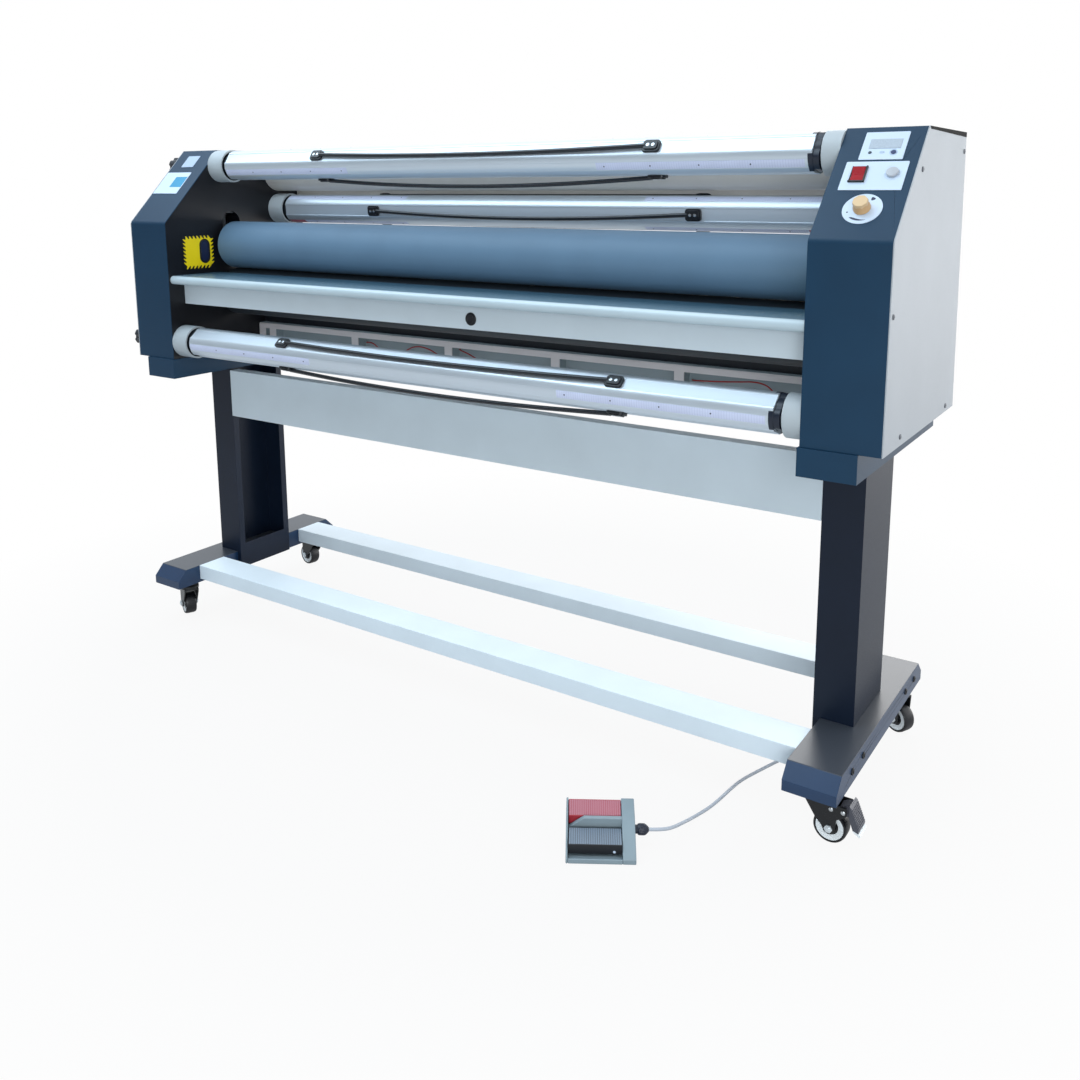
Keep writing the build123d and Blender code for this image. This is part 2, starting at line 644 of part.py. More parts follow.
def film_shaft(name):
    """Profile with three flats, its end plugs, three grip hoses and their clamps."""
    y, z = SHAFT_AXES[name]
    angles = [GRIP_TURN[name] + step for step in (0, 120, 240)]
    with BuildPart() as profile:
        with BuildSketch(Plane.YZ.offset(SHAFT_LEFT)):
            with Locations((y, z)):
                Circle(SHAFT_R)
                Circle(SHAFT_BORE, mode=Mode.SUBTRACT)
                with PolarLocations(FLAT_R + 10, 3, start_angle=angles[0]):
                    Rectangle(20, 40, mode=Mode.SUBTRACT)
        extrude(amount=SHAFT_RIGHT - SHAFT_LEFT)
    with BuildPart() as plugs:
        rod(-PLUG_RIGHT - 10, SHAFT_LEFT, y, z, SHAFT_R - 4)
        rod(-DISC_X[0], -PLUG_RIGHT - 10, y, z, JOURNAL_R)
        rod(-DISC_X[1], -DISC_X[0], y, z, DISC_R)
        with BuildSketch(Plane.YZ.offset(SHAFT_RIGHT)):
            with Locations((y, z)):
                Circle(26)
                with PolarLocations(22, 3, start_angle=angles[0] + 60):
                    Circle(11)
        extrude(amount=PLUG_RIGHT - SHAFT_RIGHT)
        rod(PLUG_RIGHT, SPAN - 6, y, z, JOURNAL_R)
    pieces = [profile, plugs]
    along, outward = GRIP_SAG[name]
    for angle, down, out_by in zip(angles, (along, 0, 0), (0, outward, 0)):
        a = radians(angle)
        face = Plane(origin=(0, y + FLAT_R * cos(a), z + FLAT_R * sin(a)), x_dir=(1, 0, 0),
                     z_dir=(0, cos(a), sin(a)))
        x0 = CLAMPS_X[0] + CLAMP[0] / 2
        x1 = CLAMPS_X[1] - CLAMP[0] / 2
        low = 1 if face.y_dir.Z < 0 else -1
        start, middle, end = [face.from_local_coords(p) for p in (
            (x0, 0, HOSE_R), ((x0 + x1) / 2, low * down, HOSE_R + out_by), (x1, 0, HOSE_R))]
        with BuildPart() as hose:
            with BuildLine() as path:
                if down or out_by:
                    ThreePointArc(start, middle, end)
                else:
                    Line(start, end)
            with BuildSketch(Plane(origin=start, z_dir=path.line % 0)):
                Circle(HOSE_R)
            sweep(path=path.wires()[0])
        pieces.append(hose)
        with BuildPart() as clamps:
            with BuildSketch(face):
                with Locations(*[(x, 0) for x in CLAMPS_X]):
                    RectangleRounded(CLAMP[0], CLAMP[1], 7)
            extrude(amount=CLAMP[2])
        pieces.append(clamps)
    return pieces


upper_pieces = film_shaft("upper")
rear_pieces = film_shaft("rear")
lower_pieces = film_shaft("lower")

TENSION_R = 25
TENSION_X = (PANEL_X + SHEET + SLIDE, PANEL_X + 46)


def tension_knob(axis):
    """Fluted hand knob with a spindle that reaches the shaft's friction disc."""
    y, z = axis
    with BuildPart() as body:
        with BuildSketch(Plane.YZ.offset(-TENSION_X[0])):
            with Locations((y, z)):
                Circle(TENSION_R)
                with PolarLocations(TENSION_R + 3, 6):
                    Circle(7, mode=Mode.SUBTRACT)
        extrude(amount=-(TENSION_X[1] - TENSION_X[0]))
        rod(-TENSION_X[0], -DISC_X[1] - 0.5, y, z, KNOB_SPINDLE_R)
    return body


upper_knob = tension_knob(SHAFT_AXES["upper"])
rear_knob = tension_knob(SHAFT_AXES["rear"])
lower_knob = tension_knob(SHAFT_AXES["lower"])

# Control panel
DIAL_R = 31.5
with BuildPart() as panel_plates:
    with BuildSketch(SLOPE):
        with Locations((PANEL_MID + 1.75, 205.5)):
            Rectangle(71.5, 63)
        with Locations((PANEL_MID, 138)):
            Rectangle(101, 63)
        with Locations(ROCKER):
            Rectangle(*CUTOUT, mode=Mode.SUBTRACT)
        with Locations(BUTTON):
            Circle(STEM_R + RUN, mode=Mode.SUBTRACT)
        with Locations(DIAL):
            Circle(DIAL_R)
            Circle(SPINDLE_R + RUN, mode=Mode.SUBTRACT)
        with Locations((-PANEL_MID - 13, 134.5)):
            Rectangle(94, 73)
        with Locations((-PANEL_MID - 1, 209.5)):
            Rectangle(46, 39)
    extrude(amount=LABEL)

with BuildPart() as display_module:
    with BuildSketch(SLOPE.offset(LABEL)):
        with Locations((PANEL_MID + 3, 209.5)):
            Rectangle(64, 25)
    extrude(amount=2)
    with BuildSketch(SLOPE.offset(LABEL)):
        with Locations(*[(PANEL_MID + step, 190) for step in (-18, 1.5, 20)]):
            Circle(3.2)
    extrude(amount=1.2)

BEZEL = (26.5, 35)
BEZEL_TOP = LABEL + 2.5
MOUTH = (21.5, 30)
with BuildPart() as rocker_bezel:
    with BuildSketch(SLOPE.offset(LABEL)):
        with Locations(ROCKER):
            Rectangle(*BEZEL)
    extrude(amount=2.5)
    with BuildSketch(SLOPE.offset(LABEL)):
        with Locations(ROCKER):
            Rectangle(*CUTOUT)
    extrude(amount=-16)
    with BuildSketch(SLOPE.offset(BEZEL_TOP)):
        with Locations(ROCKER):
            Rectangle(*MOUTH)
    extrude(amount=-(BEZEL_TOP + 12.5), mode=Mode.SUBTRACT)

# Rocker: leans one way at rest and turns about X through twice the lean
ROCKER_LEAN = 8
ROCKER_PIVOT = -2
rocker_plane = SLOPE.offset(ROCKER_PIVOT)
rocker_origin = rocker_plane.from_local_coords((ROCKER[0], ROCKER[1], 0))
rocker_frame = Plane(origin=rocker_origin, x_dir=SLOPE.x_dir, z_dir=SLOPE.z_dir)
rocker_frame = rocker_frame.rotated((ROCKER_LEAN, 0, 0))
with BuildPart(rocker_frame) as power_rocker:
    with Locations((0, 0, 0.5)):
        Box(20.5, 28, 13)

with BuildPart() as push_button:
    with BuildSketch(SLOPE.offset(LABEL + 2.8)):
        with Locations(BUTTON):
            Circle(10)
    extrude(amount=5)
    with BuildSketch(SLOPE.offset(LABEL + 2.8)):
        with Locations(BUTTON):
            Circle(STEM_R)
    extrude(amount=-14)

KNOB_R = 13.8
with BuildPart() as speed_knob:
    with BuildSketch(SLOPE.offset(LABEL + SLIDE)):
        with Locations(DIAL):
            Circle(KNOB_R)
    extrude(amount=18, taper=3)
    with BuildSketch(SLOPE.offset(LABEL + SLIDE)):
        with Locations(DIAL):
            Circle(SPINDLE_R)
    extrude(amount=-14)

# Mains inlet on the rear of the right housing
REAR = Plane(origin=(0, HOUSING[3][0], TOP_Z), x_dir=(1, 0, 0),
             z_dir=(0, TOP_Z - SADDLE_TOP, HOUSING[4][0] - HOUSING[3][0]))
INLET = (SPAN + 59, 440)
with BuildPart() as power_inlet:
    with BuildSketch(REAR):
        with Locations(INLET):
            Rectangle(50, 34)
    extrude(amount=3)
    with BuildSketch(REAR.offset(3)):
        with Locations(INLET):
            Rectangle(30, 24)
    extrude(amount=3)

# Foot switch
PEDAL_TURN = 31.5
PEDAL_AT = (COLUMN_X[0] - 217, -512)
_a = radians(PEDAL_TURN)
U = (cos(_a), sin(_a), 0)
N = (-sin(_a), cos(_a), 0)


def pedal_point(u, n, z):
    """World point of a place on the foot switch."""
    return (PEDAL_AT[0] + u * U[0] + n * N[0], PEDAL_AT[1] + u * U[1] + n * N[1], z)


def pedal_side(u):
    """Upright plane across the foot switch: x to the rear, y up."""
    return Plane(origin=pedal_point(u, 0, 0), x_dir=N, z_dir=U)


PEDAL_HALF = 60
PEDAL_DEPTH = 110
WALL_IN = -56.5       # inner face of the left wall
BLOCK_IN = 37         # inner face of the right block
PEDAL_WALL = [(0, 0), (0, 9), (6, 15), (64, 46), (106, 56), (110, 53), (110, 0)]
RED_PIVOT = (99.5, 47.5)
BLACK_PIVOT = (50, 26.5)
PEDAL_PIN_R = 2
GLAND_NZ = (57, 29)
with BuildPart() as pedal_base:
    with BuildSketch(pedal_side(-PEDAL_HALF)):
        Polygon(*PEDAL_WALL, align=None)
    extrude(amount=WALL_IN + PEDAL_HALF)
    with BuildSketch(pedal_side(BLOCK_IN)):
        Polygon(*PEDAL_WALL, align=None)
    extrude(amount=PEDAL_HALF - BLOCK_IN)
    with BuildSketch(pedal_side(WALL_IN)):
        Polygon((0, 0), (0, 9), (3, 9), (3, 5), (61, 5), (61, 41), (64, 45), (68, 45), (68, 5),
                (106, 5), (106, 50), (110, 50), (110, 0), align=None)
    extrude(amount=BLOCK_IN - WALL_IN)
    across = Plane(origin=pedal_point(0, 70, 0), x_dir=U, z_dir=(-N[0], -N[1], 0))
    with BuildSketch(across):
        Polygon((WALL_IN, 27), (WALL_IN, 60), (-29, 60), (-29, 46), align=None)
    extrude(amount=11, mode=Mode.SUBTRACT)
    for pivot in (RED_PIVOT, BLACK_PIVOT):
        with BuildSketch(pedal_side(WALL_IN - 2.8)):
            with Locations(pivot):
                Circle(PEDAL_PIN_R + RUN)
        extrude(amount=BLOCK_IN - WALL_IN + 6.8, mode=Mode.SUBTRACT)

PEDAL_SPAN = (WALL_IN + 1, BLOCK_IN - 1)


def pedal_flap(outline, pivot):
    """Tread plate with its hinge pin."""
    with BuildPart() as body:
        with BuildSketch(pedal_side(PEDAL_SPAN[0])):
            Polygon(*outline, align=None)
        extrude(amount=PEDAL_SPAN[1] - PEDAL_SPAN[0])
        with BuildSketch(pedal_side(WALL_IN - 2.4)):
            with Locations(pivot):
                Circle(PEDAL_PIN_R)
        extrude(amount=BLOCK_IN - WALL_IN + 6)
    return body


red_pedal = pedal_flap([(71, 28), (71, 43.5), (104, 54.5), (104, 44), (96, 44), (95, 47.5),
                        (75, 40.5), (75, 28)], RED_PIVOT)
black_pedal = pedal_flap([(14, 9.5), (14, 27), (54, 32.5), (54, 23), (46, 23), (45, 26.5),
                          (18, 23), (18, 9.5)], BLACK_PIVOT)

CORD_R = 3
PEDAL_GLAND_END = 84
MACHINE_GLAND = (COLUMN_X[0] + 36, -15)
MACHINE_GLAND_LOW = COLUMN_TOP - 26
with BuildPart() as cord_glands:
    with BuildSketch(pedal_side(PEDAL_HALF)):
        with Locations(GLAND_NZ):
            RegularPolygon(radius=10, side_count=6)
    extrude(amount=7)
    with BuildSketch(pedal_side(PEDAL_HALF + 7)):
        with Locations(GLAND_NZ):
            Circle(7.5)
    extrude(amount=PEDAL_GLAND_END - PEDAL_HALF - 7)
    post(*MACHINE_GLAND, MACHINE_GLAND_LOW + 16, COLUMN_TOP, 10)
    post(*MACHINE_GLAND, MACHINE_GLAND_LOW, MACHINE_GLAND_LOW + 16, 8)

CORD_FLOOR = [(-142.6, -309.7), (-130.5, -266.4), (-125.6, -227.1), (-122.6, -188.8),
              (-117.7, -150.5), (-103.0, -104.3), (-84.3, -50.2)]
CORD_RISE = [(-68.6, -11.0, 4), (-54.1, 22.3, 14), (-42.6, 45.5, 40), (-32.8, 49.4, 78),
             (-23.0, 45.0, 120), (-13.0, 33.0, 162), (2.0, 18.0, 198), (20.0, 1.0, 230),
             (33.0, -11.0, 275), (36.0, -18.0, 340), (32.0, -14.0, 410), (38.0, -11.0, 480),
             (33.0, -13.0, 545)]
LAST_BEND = CORD_R * 13
CORD_POINTS = [pedal_point(PEDAL_GLAND_END, *GLAND_NZ), pedal_point(108, *GLAND_NZ),
               pedal_point(128, 72, 24), pedal_point(148, 104, 12)]
CORD_POINTS += [(COLUMN_X[0] + dx, y, CORD_R) for dx, y in CORD_FLOOR]
CORD_POINTS += [(COLUMN_X[0] + dx, y, z) for dx, y, z in CORD_RISE]
CORD_POINTS += [(*MACHINE_GLAND, MACHINE_GLAND_LOW - LAST_BEND),
                (*MACHINE_GLAND, MACHINE_GLAND_LOW)]

cord_radii = route_radii(CORD_POINTS)
with BuildPart() as pedal_cord:
    with BuildLine() as cord_path:
        FilletPolyline(*CORD_POINTS, radius=cord_radii)
    with BuildSketch(Plane(origin=CORD_POINTS[0], z_dir=U)):
        Circle(CORD_R)
    sweep(path=cord_path.wires()[0])

cord_length = cord_path.wires()[0].length
print("cord radii", [round(r) for r in cord_radii])
print("cord points", [tuple(round(c, 1) for c in p) for p in CORD_POINTS])
print("cord length", round(cord_length), "volume ratio",
      round(pedal_cord.part.volume / (3.14159265 * CORD_R ** 2 * cord_length), 4))

# Output
NODES = {
    "left_foot": [left_foot], "right_foot": [right_foot],
    "left_column": [left_column], "right_column": [right_column], "saddles": [saddles],
    "stretchers": [front_stretcher, rear_stretcher],
    "cross_panel": [cross_panel], "frame_bolts": [frame_bolts],
    "caster_plates": [caster_plates],
    "left_side_frame": [left_side_frame], "right_side_frame": [right_side_frame],
    "left_front_cover": [left_front_cover], "right_front_cover": [right_front_cover],
    "left_side_panel": [left_side_panel], "right_side_panel": [right_side_panel],
    "top_covers": [top_covers], "cover_screws": [cover_screws],
    "feed_table": [feed_table], "table_apron": [table_apron], "apron_plug": [apron_plug],
    "tie_beam": [tie_beam], "lower_frame": [lower_frame], "heater_leads": [heater_leads],
    "rear_cowl": [rear_cowl], "drive_motor": [drive_motor],
    "lift_actuators": [lift_actuators], "shaft_holders": [shaft_holders],
    "panel_plates": [panel_plates], "display_module": [display_module],
    "rocker_bezel": [rocker_bezel], "power_inlet": [power_inlet],
    "sensor_windows": [sensor_windows], "cord_glands": [cord_glands],
    "pedal_base": [pedal_base], "pedal_cord": [pedal_cord],
    "lift_yokes": [lift_yokes],
    "top_core": [top_core], "top_sleeve": [top_sleeve],
    "bottom_core": [bottom_core], "bottom_sleeve": [bottom_sleeve],
    "upper_shaft": upper_pieces, "rear_shaft": rear_pieces, "lower_shaft": lower_pieces,
    "upper_knob": [upper_knob], "rear_knob": [rear_knob], "lower_knob": [lower_knob],
    "speed_knob": [speed_knob], "power_rocker": [power_rocker], "push_button": [push_button],
    "front_right_fork": [front_right_fork], "rear_right_fork": [rear_right_fork],
    "front_left_fork": [front_left_fork], "rear_left_fork": [rear_left_fork],
    "front_right_wheel": wheel_solids["front_right"],
    "rear_right_wheel": wheel_solids["rear_right"],
    "front_left_wheel": wheel_solids["front_left"],
    "rear_left_wheel": wheel_solids["rear_left"],
    "caster_brake": [caster_brake], "red_pedal": [red_pedal], "black_pedal": [black_pedal],
}
for name, pieces in NODES.items():
    solids = [solid for piece in pieces for solid in piece.part.solids()]
    node = solids[0] if len(solids) == 1 else Compound(children=solids)
    node.label = name
    export_step(node, "parts/" + name + ".step")
    box = node.bounding_box()
    print(name, len(solids), [round(v, 1) for v in (*box.min, *box.max)])
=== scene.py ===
# %% [markdown]
# # Large format laminator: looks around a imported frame
# This notebook dresses a wide roll laminator on a wheeled stand. The frame comes in as
# finished solids in metres, so nothing here moves them: each cell either gives a solid a
# better finish, or builds a finer piece that stands in the same place.

import math

import bmesh
import bpy
from mathutils import Matrix, Quaternion, Vector


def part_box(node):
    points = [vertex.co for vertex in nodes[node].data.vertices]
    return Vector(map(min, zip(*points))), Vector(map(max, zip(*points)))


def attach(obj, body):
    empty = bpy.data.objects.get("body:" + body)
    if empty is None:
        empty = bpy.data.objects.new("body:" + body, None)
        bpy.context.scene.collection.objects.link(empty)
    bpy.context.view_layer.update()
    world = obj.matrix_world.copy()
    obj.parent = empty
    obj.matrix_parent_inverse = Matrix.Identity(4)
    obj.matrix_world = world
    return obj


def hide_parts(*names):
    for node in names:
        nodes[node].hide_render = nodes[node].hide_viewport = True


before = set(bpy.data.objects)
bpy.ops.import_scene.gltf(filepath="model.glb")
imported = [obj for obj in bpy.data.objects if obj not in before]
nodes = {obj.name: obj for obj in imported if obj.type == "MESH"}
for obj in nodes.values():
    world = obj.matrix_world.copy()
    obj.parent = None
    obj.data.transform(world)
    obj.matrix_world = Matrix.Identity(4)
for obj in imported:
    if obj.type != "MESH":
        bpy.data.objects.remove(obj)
scene = bpy.context.scene
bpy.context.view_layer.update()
MM = 0.001

# %% [markdown]
# ## Camera
# The photograph was taken from the right, a little below the top of the machine. The
# camera stands at the solved place and looks slightly down. A shift then moves the picture
# in its frame, as a crop does. Turning the camera further would change the perspective.

# %% Camera
def add_object(name, data):
    """Puts a new object with its data into the scene."""
    made = bpy.data.objects.new(name, data)
    scene.collection.objects.link(made)
    return made


camera_data = bpy.data.cameras.new("photo_camera")
camera_data.sensor_width = 36
camera_data.lens = 34.29
camera_data.shift_x = -0.0014
camera_data.shift_y = -0.1578
camera = add_object("photo_camera", camera_data)
camera.location = (1.376, -1.867, 1.130)
camera.rotation_mode = "QUATERNION"
LOOK = Vector((-0.5489, 0.8173, -0.1752))
ROLL = math.radians(-0.23)
camera.rotation_quaternion = LOOK.to_track_quat("-Z", "Y") @ Quaternion((0, 0, 1), ROLL)
scene.camera = camera
scene.view_settings.view_transform = "Standard"
print("camera at", tuple(camera.location))

# %% [markdown]
# ## Cords
# A foot switch lead runs over the floor and up inside the hollow column. Four red heater
# leads run along the cells of the lower frame. A cord could be a tube of straight runs, but a
# smooth curve along the route's own points bends as a real lead does. The order is given
# after the points, because it can't be higher than their number.


# %% Cord helper and routes
def cord_line(name, points, radius):
    """A smooth round lead on control points in millimetres."""
    curve = bpy.data.curves.new(name, "CURVE")
    curve.dimensions = "3D"
    spline = curve.splines.new("NURBS")
    spline.points.add(len(points) - 1)
    for knot, place in zip(spline.points, points):
        knot.co = (place[0] * MM, place[1] * MM, place[2] * MM, 1)
    spline.order_u = 3
    spline.use_endpoint_u = True
    curve.resolution_u = 10
    curve.bevel_depth = radius * MM
    curve.bevel_resolution = 5
    curve.use_fill_caps = True
    return add_object(name, curve)


PEDAL_ROUTE = [
    (624.84, -419.51, 29), (645.30, -406.97, 29), (654.52, -383.73, 24),
    (654.85, -346.0, 12), (657.4, -309.7, 3), (669.5, -266.4, 3), (674.4, -227.1, 3),
    (677.4, -188.8, 3), (682.3, -150.5, 3), (697.0, -104.3, 3), (715.7, -50.2, 3),
    (731.4, -11, 4), (745.9, 22.3, 14), (757.4, 45.5, 40), (767.2, 49.4, 78),
    (777, 45, 120), (787, 33, 162), (802, 18, 198), (820, 1, 230), (833, -11, 275),
    (836, -18, 340), (832, -14, 410), (838, -11, 480), (833, -13, 545), (836, -15, 592),
    (836, -15, 631),
]
pedal_cord = cord_line("foot_switch_cord", PEDAL_ROUTE, 3)
LEAD_ROUTES = [
    (0.077, [(-436, 37.7, 742), (-433, 26, 742), (-406, 23, 746), (-383, 26, 728),
             (-380, 37.7, 726)]),
    (0.158, [(-312, 37.7, 724), (-309, 25, 726), (-268, 23, 748), (-224, 23, 746),
             (-183, 25, 726), (-180, 37.7, 724)]),
    (0.103, [(-136, 37.7, 750), (-133, 25, 750), (-96, 23, 742), (-59, 25, 722),
             (-56, 37.7, 720)]),
    (0.217, [(472, 37.7, 736), (475, 26, 737), (562, 23, 743), (632, 23, 751),
             (661, 25, 724), (664, 37.7, 722)]),
]
heater_leads = []
for number, (length, route) in enumerate(LEAD_ROUTES, 1):
    heater_leads.append((cord_line(f"heater_lead_{number}", route, 1.5), route, length))
print("cords", 1 + len(heater_leads))

# %% [markdown]
# ## Helpers for finishes
# Paint, rubber, plastic and metal all show small changes of tone, a fine surface texture
# and an uneven gloss. Pictures wrapped on the parts would need unwrapping, so each finish
# is mixed from noise in the part's own space, and it moves with the part.


# %% Finish helpers
def shader(name):
    """A new material with its node tree and its surface shader."""
    material = bpy.data.materials.new(name)
    material.use_nodes = True
    tree = material.node_tree
    return material, tree, tree.nodes["Principled BSDF"]


def set_inputs(tree, node, inputs):
    """Sets a node's inputs to constants, or links them to other nodes' outputs."""
    for key, value in inputs.items():
        if isinstance(value, bpy.types.NodeSocket):
            tree.links.new(value, node.inputs[key])
        else:
            node.inputs[key].default_value = value


def add_node(tree, kind, inputs, operation=None):
    """A new node with its inputs. A mix node mixes colours."""
    node = tree.nodes.new(f"ShaderNode{kind}")
    if operation:
        node.operation = operation
    if kind == "Mix":
        node.data_type = "RGBA"
    set_inputs(tree, node, inputs)
    return node


def noise(tree, scale, stretch=(1, 1, 1), detail=4.0):
    """Noise in the part's own space, stretched along its axes."""
    place = add_node(tree, "TexCoord", {}).outputs["Object"]
    mapping = add_node(tree, "Mapping", {"Vector": place, "Scale": stretch})
    texture = add_node(tree, "TexNoise", {
        "Vector": mapping.outputs["Vector"], "Scale": scale, "Detail": detail,
    })
    return texture.outputs["Fac"]


def place_along(tree, axis):
    """The place along one axis of the part's own space, in metres."""
    place = add_node(tree, "TexCoord", {}).outputs["Object"]
    return add_node(tree, "SeparateXYZ", {"Vector": place}).outputs[axis]


def spread(tree, source, low, high, start=0.3, end=0.7):
    """A value between start and end stretched onto the range from low to high."""
    return add_node(tree, "MapRange", {
        "Value": source, "From Min": start, "From Max": end, "To Min": low, "To Max": high,
    }).outputs["Result"]


def blend_colour(tree, factor, first, second):
    """Two colours, or two colour outputs, mixed by a factor."""
    return add_node(tree, "Mix", {"Factor": factor, 6: first, 7: second}).outputs[2]


def tone(code, factor=1.0):
    """A colour written as in a paint chart, made linear, and lightened by a factor."""
    parts = [int(code[i:i + 2], 16) / 255 for i in (0, 2, 4)]
    linear = [((c + 0.055) / 1.055) ** 2.4 if c > 0.04045 else c / 12.92 for c in parts]
    return (*(min(1.0, c * factor) for c in linear), 1)


def finish(name, code, gloss, change, depth, metal=0.0, patch=9.0, grain=900.0,
           stretch=(1, 1, 1), coat=0.0, shine=0.5):
    """A finish with cloudy tone, uneven gloss and a fine surface grain."""
    material, tree, surface = shader(name)
    cloud = spread(tree, noise(tree, patch, stretch), 0, 1)
    fine = noise(tree, grain, stretch, 3.0)
    bump = add_node(tree, "Bump", {"Strength": depth, "Distance": 0.0004, "Height": fine})
    set_inputs(tree, surface, {
        "Base Color": blend_colour(tree, cloud, tone(code, 1 - change), tone(code, 1 + change)),
        "Roughness": spread(tree, fine, gloss - 0.06, gloss + 0.06),
        "Normal": bump.outputs["Normal"],
        "Metallic": metal,
        "Specular IOR Level": shine,
        "Coat Weight": coat,
        "Coat Roughness": 0.25,
    })
    return material


def tone_past(name, axis, start, end, code):
    """Past a place along an axis, in metres, a finish takes another colour."""
    tree = finishes[name].node_tree
    surface = tree.nodes["Principled BSDF"]
    before = surface.inputs["Base Color"].links[0].from_socket
    share = spread(tree, place_along(tree, axis), 0, 1, start, end)
    set_inputs(tree, surface, {"Base Color": blend_colour(tree, share, before, tone(code))})


print("finish helpers ready")

# %% [markdown]
# ## Finishes of the machine
# The stand and the side housings are powder coated steel, with the faint orange peel of
# that process. The shafts are drawn aluminium with lines along their length. The upper
# roller wears a blue grey silicone sleeve. The lower one's sleeve is near black, which is
# painted shade under the feed table. Each finish is one row of a table, and all the parts
# that look alike share it.

# %% Finishes
# Colour, gloss, change of tone, depth of the grain, and what else sets a finish apart.
FINISHES = {
    "slate_paint": ("0f1a2b", 0.38, 0.10, 0.12, dict(shine=0.27)),
    "foot_paint_and_sheen": ("183556", 0.34, 0.08, 0.10, dict(coat=0.1)),
    "navy_paint": ("14364f", 0.42, 0.06, 0.12, dict(shine=0.27)),
    "inner_paint": ("0f1016", 0.38, 0.15, 0.10, dict(shine=0.4)),
    "panel_grey": ("a0a6ac", 0.50, 0.03, 0.10),
    "pale_paint": ("ccd8df", 0.46, 0.03, 0.10),
    "frame_paint": ("e0dada", 0.46, 0.04, 0.10),
    "table_paint": ("b9cad2", 0.20, 0.03, 0.05),
    "white_paint": ("dde9f1", 0.42, 0.03, 0.10),
    # The tie beam's near black is partly its own dark paint and partly painted shade under the
    # table.
    "beam_paint": ("171c24", 0.46, 0.10, 0.12),
    "steel": ("c4c8cb", 0.26, 0.08, 0.05, dict(metal=1.0, grain=700)),
    "zinc": ("b3babe", 0.34, 0.15, 0.05, dict(metal=1.0, patch=60)),
    "silicone": ("5e7c95", 0.55, 0.05, 0.05, dict(grain=2200)),
    # The lower sleeve's near black is painted shade under the feed table.
    "silicone_painted_shade": ("1a2229", 0.55, 0.10, 0.05, dict(grain=2200)),
    "alloy": ("d3dde6", 0.36, 0.04, 0.10,
              dict(metal=0.55, patch=30, grain=160, stretch=(0.03, 1, 1))),
    "holder_paint": ("b1babf", 0.48, 0.03, 0.08),
    "black_plastic": ("0d1118", 0.35, 0.25, 0.10),
    "plug_plastic": ("131c2b", 0.34, 0.25, 0.10),
    "knob_plastic": ("26292f", 0.42, 0.20, 0.12),
    "hose_rubber": ("0f141c", 0.30, 0.20, 0.04, dict(coat=0.3)),
    "motor_paint": ("3d4247", 0.50, 0.12, 0.15),
    "label_plate": ("c6d6e9", 0.38, 0.02, 0.03),
    "label_grey": ("a9bbd1", 0.40, 0.03, 0.03),
    "screen_grey": ("a9b5c1", 0.30, 0.06, 0.10, dict(patch=420)),
    "key_blue": ("22325e", 0.35, 0.10, 0.05),
    "key_dark": ("1a2c3c", 0.35, 0.10, 0.05),
    "blue_print": ("128ab4", 0.38, 0.06, 0.03),
    "rocker_red": ("9c0618", 0.36, 0.06, 0.03, dict(shine=0.2)),
    "button_grey": ("b0b5bc", 0.32, 0.04, 0.05),
    "dial_beige": ("c9a274", 0.42, 0.05, 0.08),
    "cap_beige": ("d8ba90", 0.42, 0.04, 0.05),
    "dial_ink": ("10173f", 0.40, 0.10, 0.02),
    "sensor_yellow": ("f0d80c", 0.40, 0.05, 0.04),
    "window_glass": ("1b2340", 0.14, 0.20, 0.01),
    "lead_red": ("9c2a22", 0.42, 0.10, 0.06),
    "gland_black": ("151c2b", 0.38, 0.15, 0.08),
    "pedal_casting": ("82929a", 0.48, 0.06, 0.25, dict(grain=600)),
    "pedal_red": ("a02430", 0.42, 0.08, 0.08),
    "tread_pink_painted_highlight": ("b0707c", 0.42, 0.05, 0.08),
    "pedal_black": ("0f1117", 0.42, 0.12, 0.08),
    "tread_grey_painted_highlight": ("74818f", 0.42, 0.06, 0.08),
    "cord_grey": ("aeb4bd", 0.45, 0.05, 0.05),
    "tyre_rubber": ("0e0f14", 0.40, 0.20, 0.08),
    "hub_white": ("f0f5f7", 0.36, 0.03, 0.06),
    "fork_black": ("0e0f12", 0.32, 0.15, 0.08),
    "brake_grey": ("4a4b54", 0.42, 0.12, 0.10),
    "socket_black": ("131518", 0.45, 0.15, 0.08),
    "dark_zinc": ("6a6d72", 0.50, 0.15, 0.05, dict(metal=0.3, patch=60)),
    "bright_zinc": ("dfe6ea", 0.30, 0.10, 0.05, dict(metal=0.5, patch=60)),
    "dark_wedge_tone": ("1b1a18", 0.75, 0.15, 0.05, dict(shine=0.1)),
    "cowl_paint": ("cdcac4", 0.40, 0.03, 0.10),
}
finishes = {}
for name, (code, gloss, change, depth, *more) in FINISHES.items():
    finishes[name] = finish(name, code, gloss, change, depth, **dict(*more))
# Under these lamps three surfaces come out unlike the photograph, so their colour changes
# with place. The table's top is darker than its nose, and darker still to the rear.
tone_past("table_paint", "Y", -0.254, -0.250, "7f99a8")
# Darker still to the rear is painted shade under the upper roller and a painted reflection of
# it.
tone_past("table_paint", "Y", -0.25, -0.15, "4a6a7e")
# The lower frame's cells are greyer than its rails, as painted shade in the recessed cells.
tone_past("frame_paint", "Y", 0.0125, 0.0135, "8d989d")
# The flat tops of the feet are greyer than their sides, as a painted sheen: the grey stands in
# for the hall's reflection in the tops.
tone_past("foot_paint_and_sheen", "Z", 0.1485, 0.1497, "3b4048")
print("finishes", len(bpy.data.materials))

# %% [markdown]
# ## Solids that keep their shape
# Sheet metal and machined parts are right as they come. A real edge is never perfectly
# sharp, so each gets a small rounded edge from modifiers, which leave the solid itself
# as it is, and then its finish.


# %% Finish and edges of the solids
SHARP = math.radians(32)


def round_edges(thing, width):
    """A small rounded edge, in millimetres, wherever two faces meet sharply."""
    bevel = thing.modifiers.new("edge", "BEVEL")
    bevel.width = width * MM
    bevel.segments = 2
    bevel.limit_method = "ANGLE"
    bevel.angle_limit = SHARP
    return bevel


